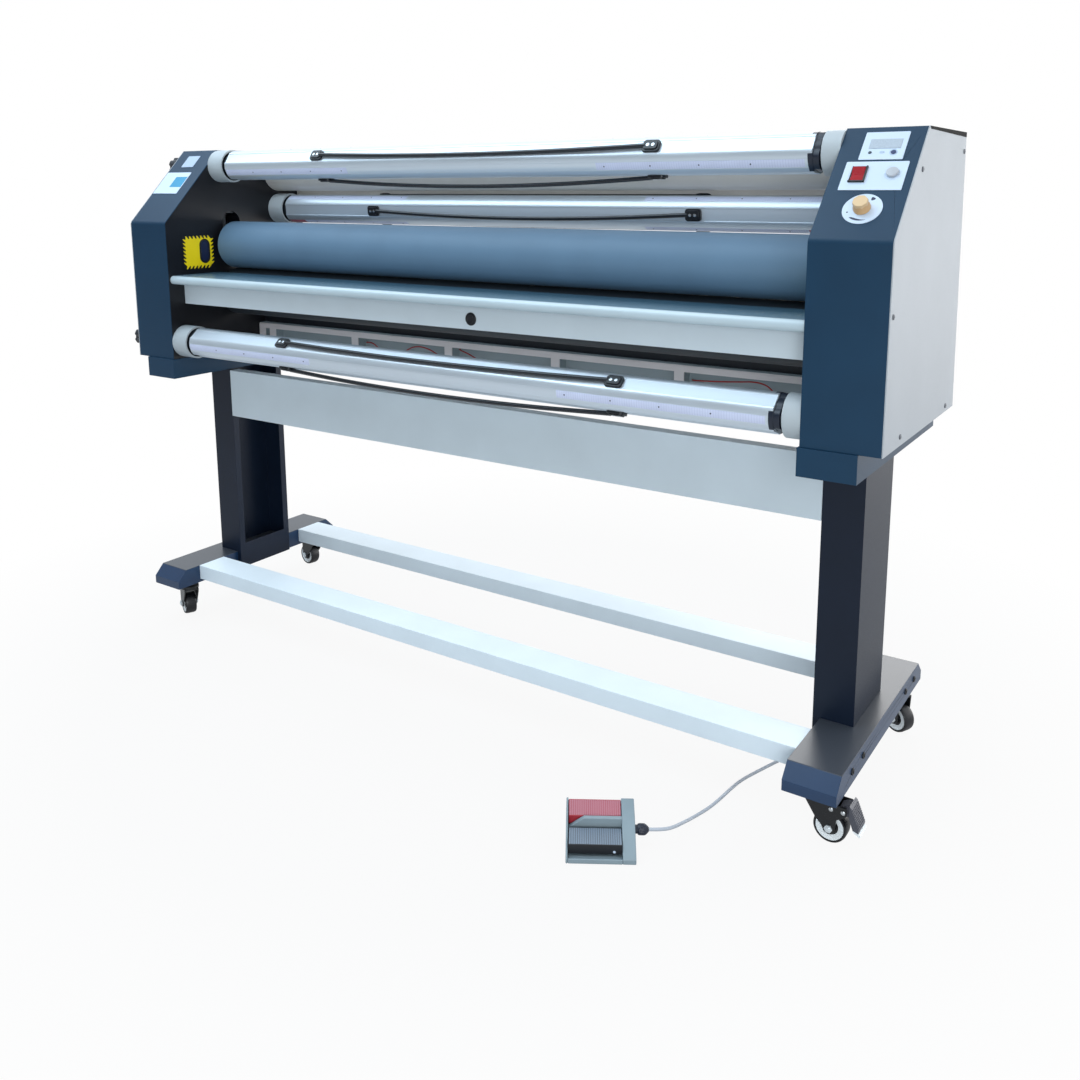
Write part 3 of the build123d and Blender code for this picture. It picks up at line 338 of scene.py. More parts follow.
def dress(name, material, edge=0.8):
    """Gives a solid its finish and a small rounded edge."""
    solid = nodes[name]
    solid.data.materials.clear()
    solid.data.materials.append(finishes[material])
    if edge:
        weld = solid.modifiers.new("weld", "WELD")
        weld.merge_threshold = 0.00001
        round_edges(solid, edge)
        solid.modifiers.new("shade", "WEIGHTED_NORMAL")


DRESS = {
    "slate_paint": ["left_column", "right_column"],
    "foot_paint_and_sheen": ["left_foot", "right_foot"],
    "navy_paint": ["left_front_cover", "right_front_cover", "saddles"],
    "inner_paint": ["left_side_frame", "right_side_frame"],
    "panel_grey": ["left_side_panel", "right_side_panel", "top_covers"],
    "white_paint": ["stretchers"],
    "pale_paint": ["cross_panel", "table_apron"],
    "cowl_paint": ["rear_cowl"],
    "table_paint": ["feed_table"],
    "frame_paint": ["lower_frame"],
    "beam_paint": ["tie_beam"],
    "steel": ["top_core", "bottom_core"],
    "silicone": ["top_sleeve"],
    "silicone_painted_shade": ["bottom_sleeve"],
    "holder_paint": ["shaft_holders"],
    "motor_paint": ["drive_motor", "lift_actuators", "lift_yokes"],
    "zinc": ["caster_plates"],
}
for material, names in DRESS.items():
    for name in names:
        dress(name, material)
print("dressed", sum(len(names) for names in DRESS.values()))

# %% [markdown]
# ## Helpers for pieces
# Most small parts are one of two kinds: an outline pushed to a thickness, or a profile
# turned round an axis. Ready made cubes and cylinders would need scaling and joining.
# Writing the outline keeps each part's true form in one line, and a bevel rounds it.


# %% Shape helpers
def polar(radius, turn):
    """A point at a radius and at a turn in radians."""
    return radius * math.cos(turn), radius * math.sin(turn)


def rod(radius, low, high):
    """The profile of a plain round bar from one height to another."""
    return [(0, low), (radius, low), (radius, high), (0, high)]


def mirrored(profile):
    """The same profile on the other side of height zero."""
    return [(radius, -height) for radius, height in profile]


def seat(origin, along, up):
    """A local frame in millimetres: x runs along, z runs up."""
    z = Vector(up).normalized()
    x = (Vector(along) - Vector(along).dot(z) * z).normalized()
    y = z.cross(x)
    return Matrix((*zip(x, y, z, origin), (0, 0, 0, 1)))


def prism(mesh, outline, place, low, high):
    """An outline in local x, y pushed from one local height to another."""
    rings = [[mesh.verts.new(place @ Vector((x, y, z))) for x, y in outline]
             for z in (low, high)]
    mesh.faces.new(rings[0][::-1])
    mesh.faces.new(rings[1])
    count = len(outline)
    for i in range(count):
        j = (i + 1) % count
        mesh.faces.new((rings[0][i], rings[0][j], rings[1][j], rings[1][i]))


def turned(mesh, profile, place, steps=48):
    """A profile of radius and height turned round the local z axis."""
    rings = []
    for radius, height in profile:
        if radius == 0:
            rings.append([mesh.verts.new(place @ Vector((0, 0, height)))])
            continue
        circle = [polar(radius, math.tau * k / steps) for k in range(steps)]
        rings.append([mesh.verts.new(place @ Vector((*point, height))) for point in circle])
    for lower, upper in zip(rings, rings[1:]):
        for k in range(steps):
            nxt = (k + 1) % steps
            if len(lower) == 1:
                mesh.faces.new((lower[0], upper[k], upper[nxt]))
            elif len(upper) == 1:
                mesh.faces.new((lower[k], lower[nxt], upper[0]))
            else:
                mesh.faces.new((lower[k], lower[nxt], upper[nxt], upper[k]))


def ring_outline(radius, steps=32, start=0.0, flute=0.0, waves=0):
    """A circle as points, with optional waves in its radius."""
    points = []
    for k in range(steps):
        t = start + math.tau * k / steps
        points.append(polar(radius + flute * math.cos(waves * (t - start)), t))
    return points


def round_box(width, height, radius, centre=(0, 0), steps=5):
    """A rectangle with round corners as points."""
    points = []
    corners = ((1, 1, 0), (-1, 1, 90), (-1, -1, 180), (1, -1, 270))
    for sx, sy, first in corners:
        cx = centre[0] + sx * (width / 2 - radius)
        cy = centre[1] + sy * (height / 2 - radius)
        for k in range(steps + 1):
            dx, dy = polar(radius, math.radians(first + 90 * k / steps))
            points.append((cx + dx, cy + dy))
    return points


def mesh_object(name, mesh):
    """An object in metres from a worked mesh in millimetres."""
    data = bpy.data.meshes.new(name)
    mesh.to_mesh(data)
    mesh.free()
    data.transform(Matrix.Scale(MM, 4))
    return add_object(name, data)


def piece(name, mesh, material, body, stands_for=(), edge=0.0):
    """Turns a worked mesh into a named piece that rides on a body."""
    bmesh.ops.recalc_face_normals(mesh, faces=mesh.faces)
    made = mesh_object(name, mesh)
    made.data.shade_smooth()
    made.data.set_sharp_from_angle(angle=SHARP)
    made.data.materials.append(finishes[material])
    if edge:
        round_edges(made, edge).harden_normals = True
    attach(made, body)
    for node in stands_for:
        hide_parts(node)
    return made


def lathe_piece(name, profiles, material, body, stands_for=(), edge=0.0, steps=48):
    """One piece from several turned profiles, each with its own local frame."""
    mesh = bmesh.new()
    for profile, place in profiles:
        turned(mesh, profile, place, steps)
    return piece(name, mesh, material, body, stands_for, edge)


def plate_piece(name, plates, material, body, stands_for=(), edge=0.0):
    """One piece from several outlines: outline, local frame, low and high."""
    mesh = bmesh.new()
    for outline, place, low, high in plates:
        prism(mesh, outline, place, low, high)
    return piece(name, mesh, material, body, stands_for, edge)


print("shape helpers ready")

# %% [markdown]
# ## Screws and bolts
# Ten pan head screws hold the side panels and eight socket head bolts hold the feet to the
# stretchers. Their heads are small but catch the light, so they are turned, not left as
# flat discs: a domed rim and a sunk socket read as a screw at any distance.

# %% Screws and bolts
SCREWS_YZ = [(-128, 1155), (163, 1190), (-253, 929), (143, 718), (-172, 722)]
FOOT_BOLTS_YZ = [(-212, 129), (-149, 129), (132, 129), (196, 129)]
PAN_HEAD = [(0, 0), (4.5, 0), (4.5, 1.0), (3.7, 1.9), (2.2, 2.3), (1.6, 2.25), (1.3, 1.0),
            (0, 0.9)]
BOLT_HEAD = [(0, 0), (6.2, 0), (6.2, 1.6), (5.6, 2.5), (4.6, 2.8), (3.4, 2.8), (3.1, 1.0),
             (0, 0.9)]
PANEL_X, FOOT_X = 947, 910  # outer faces of the side panels and of the feet
screws, bolts = [], []
for side in (-1, 1):
    for y, z in SCREWS_YZ:
        screws.append((PAN_HEAD, seat((side * PANEL_X, y, z), (0, 1, 0), (side, 0, 0))))
    for y, z in FOOT_BOLTS_YZ:
        bolts.append((BOLT_HEAD, seat((side * FOOT_X, y, z), (0, 1, 0), (side, 0, 0))))
lathe_piece("panel_screws", screws, "dark_zinc", "frame", ["cover_screws"], steps=24)
lathe_piece("foot_bolts", bolts, "socket_black", "frame", ["frame_bolts"], steps=24)
print("screws", len(screws), "bolts", len(bolts))

# %% [markdown]
# ## Film shafts
# Each film shaft is a drawn aluminium profile: a round tube with three flats for the grip
# hoses, and three shallow grooves between them for scale strips. Turning can't give flats,
# so the section is drawn once as points, round the circle, and pushed to its length. Two
# fine steps at each flat's rim give the lines that run along the real shafts.

# %% Shaft sections
SHAFTS = {
    "upper": {"axis": (-88, 1184), "turn": 147, "slack": 9, "hang": 15},
    "rear": {"axis": (104, 1074), "turn": 184, "slack": 13, "hang": 3},
    "lower": {"axis": (-227, 749), "turn": 130, "slack": 8, "hang": 12},
}
SHAFT_R = 36.9
FLAT_R = 34.0
FLAT_HALF = math.sqrt(SHAFT_R ** 2 - FLAT_R ** 2)
BED_R = FLAT_R - 0.9
STRIP_HALF = 8.5
GROOVE_R = SHAFT_R - 0.5
SHAFT_ENDS = (-750, 762)


def across(turn):
    """Local x axis in the shaft's section that points at a turn in degrees."""
    a = math.radians(turn)
    return Vector((0, math.cos(a), math.sin(a)))


def shaft_outline(turn):
    """Section points in y, z round the axis, with flats, rims and strip grooves."""
    rim = [(BED_R, 6), (FLAT_R - 0.7, FLAT_HALF - 2.2), (FLAT_R, FLAT_HALF - 1.6)]
    flat = [(r, -t) for r, t in rim[::-1]] + rim
    half_flat = math.degrees(math.asin(FLAT_HALF / SHAFT_R))
    half_strip = math.degrees(STRIP_HALF / SHAFT_R)
    run = [k * (60 - half_strip - half_flat) / 4 for k in range(5)]
    sunk = [0.6 + k * (2 * half_strip - 1.2) / 6 for k in range(7)]
    angles = [(half_flat + b, SHAFT_R) for b in run]
    angles += [(60 - half_strip + b, GROOVE_R) for b in sunk]
    angles += [(60 + half_strip + b, SHAFT_R) for b in run]
    points = []
    for step in (0, 120, 240):
        a = math.radians(turn + step)
        for r, t in flat:
            points.append((r * math.cos(a) - t * math.sin(a), r * math.sin(a) + t * math.cos(a)))
        for b, r in angles:
            points.append(polar(r, math.radians(turn + step + b)))
    return points


for name, shaft in SHAFTS.items():
    shaft["axle"] = seat((0, *shaft["axis"]), (0, 1, 0), (1, 0, 0))
    section = shaft_outline(shaft["turn"])
    plate_piece(f"{name}_profile", [(section, shaft["axle"], *SHAFT_ENDS)], "alloy",
                f"{name}_shaft", [f"{name}_shaft"], edge=0.25)
print("profiles", len(SHAFTS))

# %% [markdown]
# ## Scale strips
# A pale strip with fine divisions lies in each groove, with a dark dot every 100
# millimetres, so that the operator can centre a roll. The divisions are far too many to
# model one by one. The finish repeats a stripe along the shaft's own length instead, and
# only the dots are real, thin discs.


# %% Strip finish
HALF_DIVISION = 0.0025


def strip_finish(name, ground, mark):
    """A pale strip with a division every five millimetres."""
    material, tree, surface = shader(name)
    # A stripe where the zigzag of the place along the shaft comes close to zero.
    zigzag = add_node(tree, "Math", {0: place_along(tree, "X"), 1: HALF_DIVISION}, "PINGPONG")
    stripe = spread(tree, zigzag.outputs["Value"], 1.0, 0.0, 0.0003, 0.0007)
    cloud = spread(tree, noise(tree, 25), 0, 1)
    pale = blend_colour(tree, cloud, tone(ground, 0.96), tone(ground, 1.04))
    set_inputs(tree, surface, {
        "Base Color": blend_colour(tree, stripe, pale, tone(mark)),
        "Roughness": spread(tree, noise(tree, 800), 0.36, 0.46),
    })
    return material


finishes["lilac_strip"] = strip_finish("lilac_strip", "cfd6ee", "c3cae4")
finishes["red_strip"] = strip_finish("red_strip", "b9707c", "a35866")
DOTS_X = [side * x for side in (-1, 1) for x in (350, 450, 550, 650)]
for name, shaft in SHAFTS.items():
    y, z = shaft["axis"]
    strips, red_ends, dots = [], [], []
    for step in (60, 180, 300):
        out = across(shaft["turn"] + step)
        face = seat((0, y, z), (1, 0, 0), out)
        half = STRIP_HALF - 1.0
        sagitta = SHAFT_R - math.sqrt(SHAFT_R ** 2 - half ** 2)
        curve = [(t / 3 * half, GROOVE_R - sagitta * (t / 3) ** 2) for t in range(-3, 4)]
        band = [(t, r - 0.1) for t, r in curve] + [(t, r + 0.35) for t, r in curve[::-1]]
        local = seat((0, y, z), face.col[1].xyz, (1, 0, 0))
        mirror = 1 if local.col[1].xyz.dot(out) > 0 else -1
        outline = [(t, mirror * r) for t, r in band]
        runs = [(-748, -332, strips), (332, 749, strips)]
        if name == "rear" and out.z < 0:
            runs = [(-690, -332, strips), (332, 690, strips)]
            runs += [(-748, -690, red_ends), (690, 749, red_ends)]
        for x0, x1, group in runs:
            group.append((outline, local, x0, x1))
        for x in DOTS_X:
            dot_at = Vector((x, y, z)) + out * (SHAFT_R - 0.2)
            dots.append((rod(1.5, 0, 0.3), seat(dot_at, (1, 0, 0), out)))
    body = f"{name}_shaft"
    plate_piece(f"{name}_scale_strips", strips, "lilac_strip", body)
    if red_ends:
        plate_piece(f"{name}_strip_ends", red_ends, "red_strip", body)
    lathe_piece(f"{name}_scale_dots", dots, "dial_ink", body, steps=16)
print("dots on each strip", len(DOTS_X))

# %% [markdown]
# ## Grip hoses and their clamps
# A black rubber hose lies along each flat and is held at both ends by a moulded clamp with
# two bright screws. It grips the inside of a film core. One hose bows a little on its flat
# and one hangs free of the shaft, so a straight bar would look wrong. Each hose is a curve
# with a bevel, because a curve holds a round section through a bend.

# %% Grip hoses
HOSE_R = 4.5
CLAMPS_X = (-430, 451)
CLAMP_HALF = 18


def hose_points(face, drop, out_by):
    """Control points of a hose in the flat's frame, from clamp to clamp."""
    start, end = CLAMPS_X[0] + CLAMP_HALF - 6, CLAMPS_X[1] - CLAMP_HALF + 6
    points = []
    for k in range(9):
        t = -1 + k / 4
        bow = 1 - t * t
        x = (start + end) / 2 + t * (end - start) / 2
        points.append(face @ Vector((x, drop * bow, FLAT_R + HOSE_R + out_by * bow)))
    return points


for name, shaft in SHAFTS.items():
    y, z = shaft["axis"]
    body = f"{name}_shaft"
    clamps, heads = [], []
    for number, step in enumerate((0, 120, 240)):
        out = across(shaft["turn"] + step)
        face = seat((0, y, z), (1, 0, 0), out)
        low = -1 if face.col[1].z > 0 else 1
        drop = low * shaft["slack"] if number == 0 else 0
        out_by = shaft["hang"] if number == 1 else 0
        line = cord_line(f"{name}_grip_hose_{number + 1}",
                         [tuple(p) for p in hose_points(face, drop, out_by)], HOSE_R)
        line.data.materials.append(finishes["hose_rubber"])
        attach(line, body)
        for x in CLAMPS_X:
            base = face @ Matrix.Translation((x, 0, 0))
            clamps.append((round_box(36, 26, 7), base, BED_R, FLAT_R + 5))
            clamps.append((round_box(29, 19, 6), base, FLAT_R + 4, FLAT_R + 7.6))
            for offset in (-5.5, 5.5):
                spot = base @ Matrix.Translation((offset, 0, FLAT_R + 7.2))
                heads.append(([(0, 0), (3.4, 0), (3.4, 0.6), (2.4, 0.8), (0, 0.5)], spot))
    plate_piece(f"{name}_hose_clamps", clamps, "black_plastic", body, edge=1.2)
    lathe_piece(f"{name}_clamp_screws", heads, "steel", body, steps=20)
print("hoses", 3 * len(SHAFTS))

# %% [markdown]
# ## Ends of the shafts
# At the right each shaft carries a black lobed plug, and a pale boss takes its journal. At
# the left it drops into a pale cup with a black liner. Behind the left plate a friction
# disc meets the tension knob. The plug's outline is a circle with three long lobes, and
# each lobe carries a thin jaw that laps over the end of the aluminium profile.

# %% Shaft plugs
CUP_LINER = [(15.3, -794.9), (35.95, -794.9), (35.95, -761.5), (34.6, -761.5), (34.6, -793.5),
             (15.3, -793.5), (15.3, -794.9)]
liners = []
for name, shaft in SHAFTS.items():
    body, axle = f"{name}_shaft", shaft["axle"]
    liners.append((CUP_LINER, axle))
    lobed = []
    for k in range(96):
        t = math.tau * k / 96
        wave = math.cos(3 * (t - math.radians(shaft["turn"] + 60)))
        lobed.append(polar(min(36.6, 33.5 + 6.0 * wave) if wave > -0.5 else 30.5, t))
    small = [(0.86 * px, 0.86 * py) for px, py in lobed]
    jaws = [(lobed, axle, 762, 774), (small, axle, 774, 777.6)]
    for step in (60, 180, 300):
        turns = [math.radians(shaft["turn"] + step + k * 3.4) for k in range(-8, 9)]
        arc = [polar(37.4, t) for t in turns] + [polar(36.0, t) for t in reversed(turns)]
        jaws.append((arc, axle, 754.5, 763))
    plate_piece(f"{name}_end_plug", jaws, "plug_plastic", body, edge=0.4)
    inner = [(0, -788), (30, -788), (32.9, -785), (32.9, -750), (0, -750)]
    journal = [(0, -827), (20, -827), (20, -819.3), (15, -819.3), (15, -788), (0, -788)]
    lathe_piece(f"{name}_left_plug", [(inner, axle)], "black_plastic", body)
    lathe_piece(f"{name}_journals", [(journal, axle), (rod(15, 777.6, 805), axle)],
                "steel", body, edge=0.4)
lathe_piece("cup_liners", liners, "black_plastic", "frame")
print("plugs", len(SHAFTS))

# %% [markdown]
# ## Tension knobs
# Three hand knobs with lobed rims on the left panel set the drag of the film shafts. Six
# round notches could be cut out of a disc one by one. Working out the outline's radius at
# each angle gives the same six grips in one shape, and a smaller step closes the end.

# %% Tension knobs
GRIP_R, NOTCH_AT, NOTCH_R = 25, 28, 7


def notched_outline(steps=144):
    """A circle with six round notches in its rim, as points."""
    points = []
    for k in range(steps):
        t = math.tau * k / steps
        off = math.remainder(t, math.tau / 6)
        reach = NOTCH_R ** 2 - (NOTCH_AT * math.sin(off)) ** 2
        r = GRIP_R
        if reach > 0:
            r = min(r, NOTCH_AT * math.cos(off) - math.sqrt(reach))
        points.append(polar(r, t))
    return points


for name, shaft in SHAFTS.items():
    axle = seat((-PANEL_X - 0.3, *shaft["axis"]), (0, 1, 0), (-1, 0, 0))
    grip = notched_outline()
    mesh = bmesh.new()
    turned(mesh, [(0, 0), (15, 0), (13, 20), (0, 20)], axle, 48)
    prism(mesh, grip, axle, 18.0, 40.0)
    prism(mesh, [(0.84 * px, 0.84 * py) for px, py in grip], axle, 40.0, 43.7)
    turned(mesh, rod(6, -119.8, 0), axle, 32)
    piece(f"{name}_tension_grip", mesh, "knob_plastic", f"{name}_knob",
          [f"{name}_knob"], edge=0.8)
print("tension knobs", len(SHAFTS))

# %% [markdown]
# ## Control panel
# White plates on the right slope carry a small display with three keys, a lit rocker
# switch, a round push button and a speed knob on a dial. All of them lie on the tilted
# slope, so one local frame is set there: x along the rollers, y up the slope, z out of it.

# %% Plates and display
SLOPE_OUT = (0, -0.72097, 0.69294)
SLOPE_FOOT = (0, -267, 1045)
slope = seat(SLOPE_FOOT, (1, 0, 0), SLOPE_OUT)


def on_slope(x, up, out=0.0):
    """A local frame at a place on the slope."""
    return slope @ Matrix.Translation((x, up, out))


SWITCH_AT, BUTTON_AT, DIAL_AT = (856.75, 140.5), (911.4, 142.7), (881.4, 66.4)
RIGHT_KEY_AT = (902, 189.5)
plates = [
    (round_box(71.5, 63, 2), on_slope(883.75, 205.5), 0, 1.2),
    (round_box(101, 63, 2), on_slope(882, 138), 0, 1.2),
    (ring_outline(31.5, 96), on_slope(*DIAL_AT), 0, 1.2),
    (round_box(94, 73, 2), on_slope(-895, 134.5), 0, 1.2),
]
plate_piece("label_plates", plates, "label_plate", "frame", ["panel_plates"],
            edge=0.3)
# Name, outline, place, low, high, finish, slot, the solid it stands for, and edge.
SLOPE_PIECES = [
    ("small_label", round_box(46, 39, 2), (-883, 209.5), 0, 1.2, "label_grey", "label_plate",
     [], 0.3),
    ("blue_square", round_box(44, 35, 1), (-872, 137.5), 1.1, 1.45, "blue_print", "label_plate",
     [], 0),
    ("display_screen", round_box(52, 21.5, 1), (885.5, 209.2), 1.0, 2.0, "screen_grey",
     "display_plastic", ["display_module"], 0.4),
    ("display_key_left", ring_outline(2.9, 32), (864, 189.5), 1.0, 2.2, "key_dark",
     "display_plastic", [], 0.5),
    ("display_key_right", ring_outline(4.3, 32), RIGHT_KEY_AT, 1.0, 2.2, "key_blue",
     "display_plastic", [], 0.5),
]
for name, outline, spot, low, high, look, slot, stands_for, edge in SLOPE_PIECES:
    plate_piece(name, [(outline, on_slope(*spot), low, high)], look, "frame", stands_for,
                edge)
key_ring = [(5.0, 1.1), (6.4, 1.1), (6.2, 1.7), (5.2, 1.7), (5.0, 1.1)]
lathe_piece("display_key_ring", [(key_ring, on_slope(*RIGHT_KEY_AT))], "label_grey", "frame")
middle_key = round_box(8, 4.4, 2)
plate_piece("display_middle_key", [(middle_key, on_slope(883.5, 190), 1.0, 1.8)], "label_grey",
            "frame", edge=0.4)
print("plates", len(plates), "and pieces beside or on them", len(SLOPE_PIECES) + 2)

# %% [markdown]
# ## Rocker, button and dial
# The rocker is a black frame round a red paddle that leans to one side, with fine lines
# on its upper half. The button is a low grey cap in a pale ring. The knob is a beige skirt
# under an eight sided cap. Its dial shows a crescent that grows with speed, a thin inlay.

# %% Rocker, button and dial
bezel = on_slope(*SWITCH_AT)
# The frame's wider, higher sides at the right and the bottom are partly painted shade beside and
# below the paddle.
sides = [
    (round_box(25.1, 1.6, 0.6, (0.7, 15.9)), bezel, -14, 3.4),
    (round_box(26.5, 2.5, 0.8, (0, -16.25)), bezel, -14, 4.4),
    (round_box(2.5, 35, 0.8, (12, 0)), bezel, 1.0, 4.4),
    (round_box(1.4, 35, 0.6, (-11.55, 0)), bezel, 1.0, 3.4),
    (round_box(21.5, 30.5, 0.8), bezel, -14.5, -12.6),
]
plate_piece("rocker_frame", sides, "black_plastic", "frame", ["rocker_bezel"],
            edge=0.4)
PADDLE_TILT = math.radians(8)
ON_ITS_SIDE = Matrix(((0, 0, 1, 0), (1, 0, 0, 0), (0, 1, 0, 0), (0, 0, 0, 1)))
paddle = on_slope(*SWITCH_AT, -2) @ Matrix.Rotation(PADDLE_TILT, 4, "X")
standing = paddle @ ON_ITS_SIDE
side_view = [(-14, -6), (14, -6), (14, 6.6), (-2.6, 4.6), (-4.2, 5.0), (-14, 7.0)]
mesh = bmesh.new()
prism(mesh, side_view, standing, -10.25, 10.25)
upper_lean = math.atan2(2.0, 16.6)
upper_face = standing @ Matrix.Translation((-2.6, 4.6, 0)) @ Matrix.Rotation(upper_lean, 4, "Z")
for k in range(9):
    across_at = -8.6 + 2.15 * k
    prism(mesh, [(1.6, -0.2), (15.4, -0.2), (15.2, 0.25), (1.8, 0.25)], upper_face,
          across_at - 0.55, across_at + 0.55)
piece("rocker_paddle", mesh, "rocker_red", "power_rocker", ["power_rocker"], edge=0.3)
cap = [(0, -10), (5, -10), (5, 3), (10, 3), (10, 5.2), (9.4, 6.0), (8.4, 6.3), (0, 6.4)]
lathe_piece("button_cap", [(cap, on_slope(*BUTTON_AT))], "button_grey", "push_button",
            ["push_button"])
collar = [(10.6, 1.1), (13.4, 1.1), (13.0, 1.8), (11.0, 1.8), (10.6, 1.1)]
lathe_piece("button_collar", [(collar, on_slope(*BUTTON_AT))], "label_plate", "frame")
dial = on_slope(*DIAL_AT)
mesh = bmesh.new()
turned(mesh, [(0, -12), (3, -12), (3, 1.5), (13.8, 1.5), (13.7, 6.5), (12.8, 8.6), (12.2, 14),
              (0, 14)], dial)
piece("speed_knob_skirt", mesh, "dial_beige", "speed_knob", ["speed_knob"], edge=0.5)
octagon = ring_outline(12.7, 8, math.radians(22.5))
plate_piece("speed_knob_cap", [(octagon, dial, 11.5, 19.5)], "cap_beige", "speed_knob",
            edge=1.4)
CRESCENT = [(k / 24, math.radians(229 + 66 * k / 24)) for k in range(25)]
crescent = [polar(25.2, t) for _, t in CRESCENT]
crescent += [polar(25.1 - 3.8 * math.sin(math.pi * along ** 0.6), t)
             for along, t in reversed(CRESCENT)]
blob = ring_outline(3.4, 24, 0, 0.5, 3)
spot = ring_outline(1.4, 24)
marks = [(crescent, dial, 1.1, 1.35),
         (blob, dial @ Matrix.Translation((12.5, 21.0, 0)), 1.1, 1.35),
         (spot, dial @ Matrix.Translation((-22.0, -8.0, 0)), 1.1, 1.35)]
plate_piece("dial_marks", marks, "dial_ink", "frame")
print("controls made")

# %% [markdown]
# ## Housing trim
# A pale plate edge closes the top of each slope, a dark seal runs along the top of the
# side panels, and a black plug fills a hole in the apron. These are thin, but they draw
# the outline of the housings, so they are real strips and not painted lines.

# %% Trim and apron plug
TOP_Z = 1225


def on_wall(outline, x, side, height=0):
    """An outline in y, z and the local frame of a wall that faces to a side."""
    wall = seat((x, 0, height), (0, 1, 0), (side, 0, 0))
    return [(y, side * z) for y, z in outline], wall


edge_strips, seals, wedges = [], [], []
# A dark wedge, wider towards the rear, lies on each side panel's outer face under its top edge.
wedge = [(-92, -0.2), (174.4, -0.2), (174.4, -9.0), (-88, -4.6)]
strip = seat((0, -94, TOP_Z), (1, 0, 0), (0, 0, 1))
for side in (-1, 1):
    edge_strips.append((round_box(134, 6.0, 0.5, (side * 878, 3.0)), strip, -2.2, -0.02))
    seals.append((round_box(2.0, 262, 0.6, (side * (PANEL_X - 1.1), 134)), strip, -5.0, -0.03))
    wedges.append((*on_wall(wedge, side * (PANEL_X - 0.1), side, TOP_Z), 0, 0.6))
plate_piece("top_edge_strips", edge_strips, "holder_paint", "frame")
plate_piece("top_seals", seals, "black_plastic", "frame")
plate_piece("top_edge_wedges", wedges, "dark_wedge_tone", "frame")
apron = seat((98, -221, 865), (1, 0, 0), (0, -1, 0))
button = [(0, -6), (9.9, -6), (9.9, 0), (13.5, 0), (13.5, 1.2), (12.3, 2.3), (8.5, 2.5),
          (7.5, 1.4), (0, 1.2)]
lathe_piece("hole_plug", [(button, apron)], "black_plastic", "frame",
            ["apron_plug"])
print("trim made")

# %% [markdown]
# ## Sensor plates
# A yellow plate with slanted teeth round its edge frames an oval window on each inner
# wall. The teeth are cut as one outline that walks round the plate, with a step at every
# tooth, over a black backing. The window itself is dark glass with a thin rim.

# %% Sensor plates
PLATE_Y = (-218, -125)
PLATE_Z = (928, 1011)
WINDOW = (-153, 971.5)


def toothed(low, high, pitch, depth, lean):
    """A rectangle whose sides all carry teeth that lean the same way."""
    (y0, z0), (y1, z1) = low, high
    corners = [(y0, z0), (y1, z0), (y1, z1), (y0, z1)]
    points = []
    for k in range(4):
        a, b = Vector(corners[k]), Vector(corners[(k + 1) % 4])
        run = (b - a).normalized()
        out = Vector((run.y, -run.x))
        count = max(3, round((b - a).length / pitch))
        step = (b - a).length / count
        tip = out * depth + run * lean * depth * (1 if k in (1, 2) else -1)
        for n in range(count):
            start = a + run * step * n
            for share, raised in ((0.16, 0), (0.36, 1), (0.54, 1), (0.84, 0)):
                points.append(tuple(start + run * step * share + tip * raised))
    return points


INNER_WALL_X = 811
TEETH_IN = 7.6  # from the plate's edge to the foot of the teeth
teeth = toothed((PLATE_Y[0] + TEETH_IN, PLATE_Z[0] + TEETH_IN),
                (PLATE_Y[1] - TEETH_IN, PLATE_Z[1] - TEETH_IN), 10.4, 7.2, 0.55)
back = round_box(93, 83, 2, (sum(PLATE_Y) / 2, sum(PLATE_Z) / 2))
oval = round_box(32, 62, 15.9, WINDOW, 10)
hollow = round_box(22, 52, 10.9, WINDOW, 10)


def on_both_walls(outline, low, high):
    """A thin layer of a sensor plate on each inner wall."""
    return [(*on_wall(outline, side * INNER_WALL_X, -side), low, high) for side in (-1, 1)]


plate_piece("sensor_backs", on_both_walls(back, 0, 0.7), "black_plastic", "frame",
            ["sensor_windows"])
plate_piece("sensor_yellow_plates", on_both_walls(teeth, 0.6, 1.2), "sensor_yellow", "frame")
plate_piece("sensor_rims", on_both_walls(oval, 1.1, 1.7), "black_plastic", "frame",
            edge=0.2)
plate_piece("sensor_glass", on_both_walls(hollow, 1.6, 1.9), "window_glass", "frame",
            edge=0.2)
print("teeth", len(teeth) // 4, "on each sensor plate")

# %% [markdown]
# ## Casters
# Each caster is a pressed fork under a swivel head, with a black tyre on a pale ring hub.
# The fork's legs taper to the axle and are outlines pushed to the sheet's thickness. The
# wheel is turned from three profiles, the tyre's with a rounded tread, so it stays round in
# every view.

# %% Casters
CASTERS = {
    "front_right": (860, -228, 0), "rear_right": (860, 222, -26),
    "front_left": (-860, -228, 155), "rear_left": (-860, 222, 170),
}
TRAIL = 24
WHEEL_R = 30


def caster_frame(x, y, heading):
    """Local frame of a caster: x along its heading, y up, z to its side."""
    a = math.radians(heading)
    return seat((x, y, 0), (math.cos(a), math.sin(a), 0), (math.sin(a), -math.cos(a), 0))


def leg_outline(ear):
    """Side view of a fork leg: a round foot at the axle, and an ear where a brake sits."""
    foot = []
    for k in range(12):
        dx, dy = polar(11, math.radians(10 - 190 * k / 11))
        foot.append((TRAIL + dx, WHEEL_R + dy))
    rear = [(54, 77), (54, 63), (50, 58), (37, 50)] if ear else [(38, 77)]
    return [*rear, *foot, (-2, 46), (-19, 72), (-19, 77)]


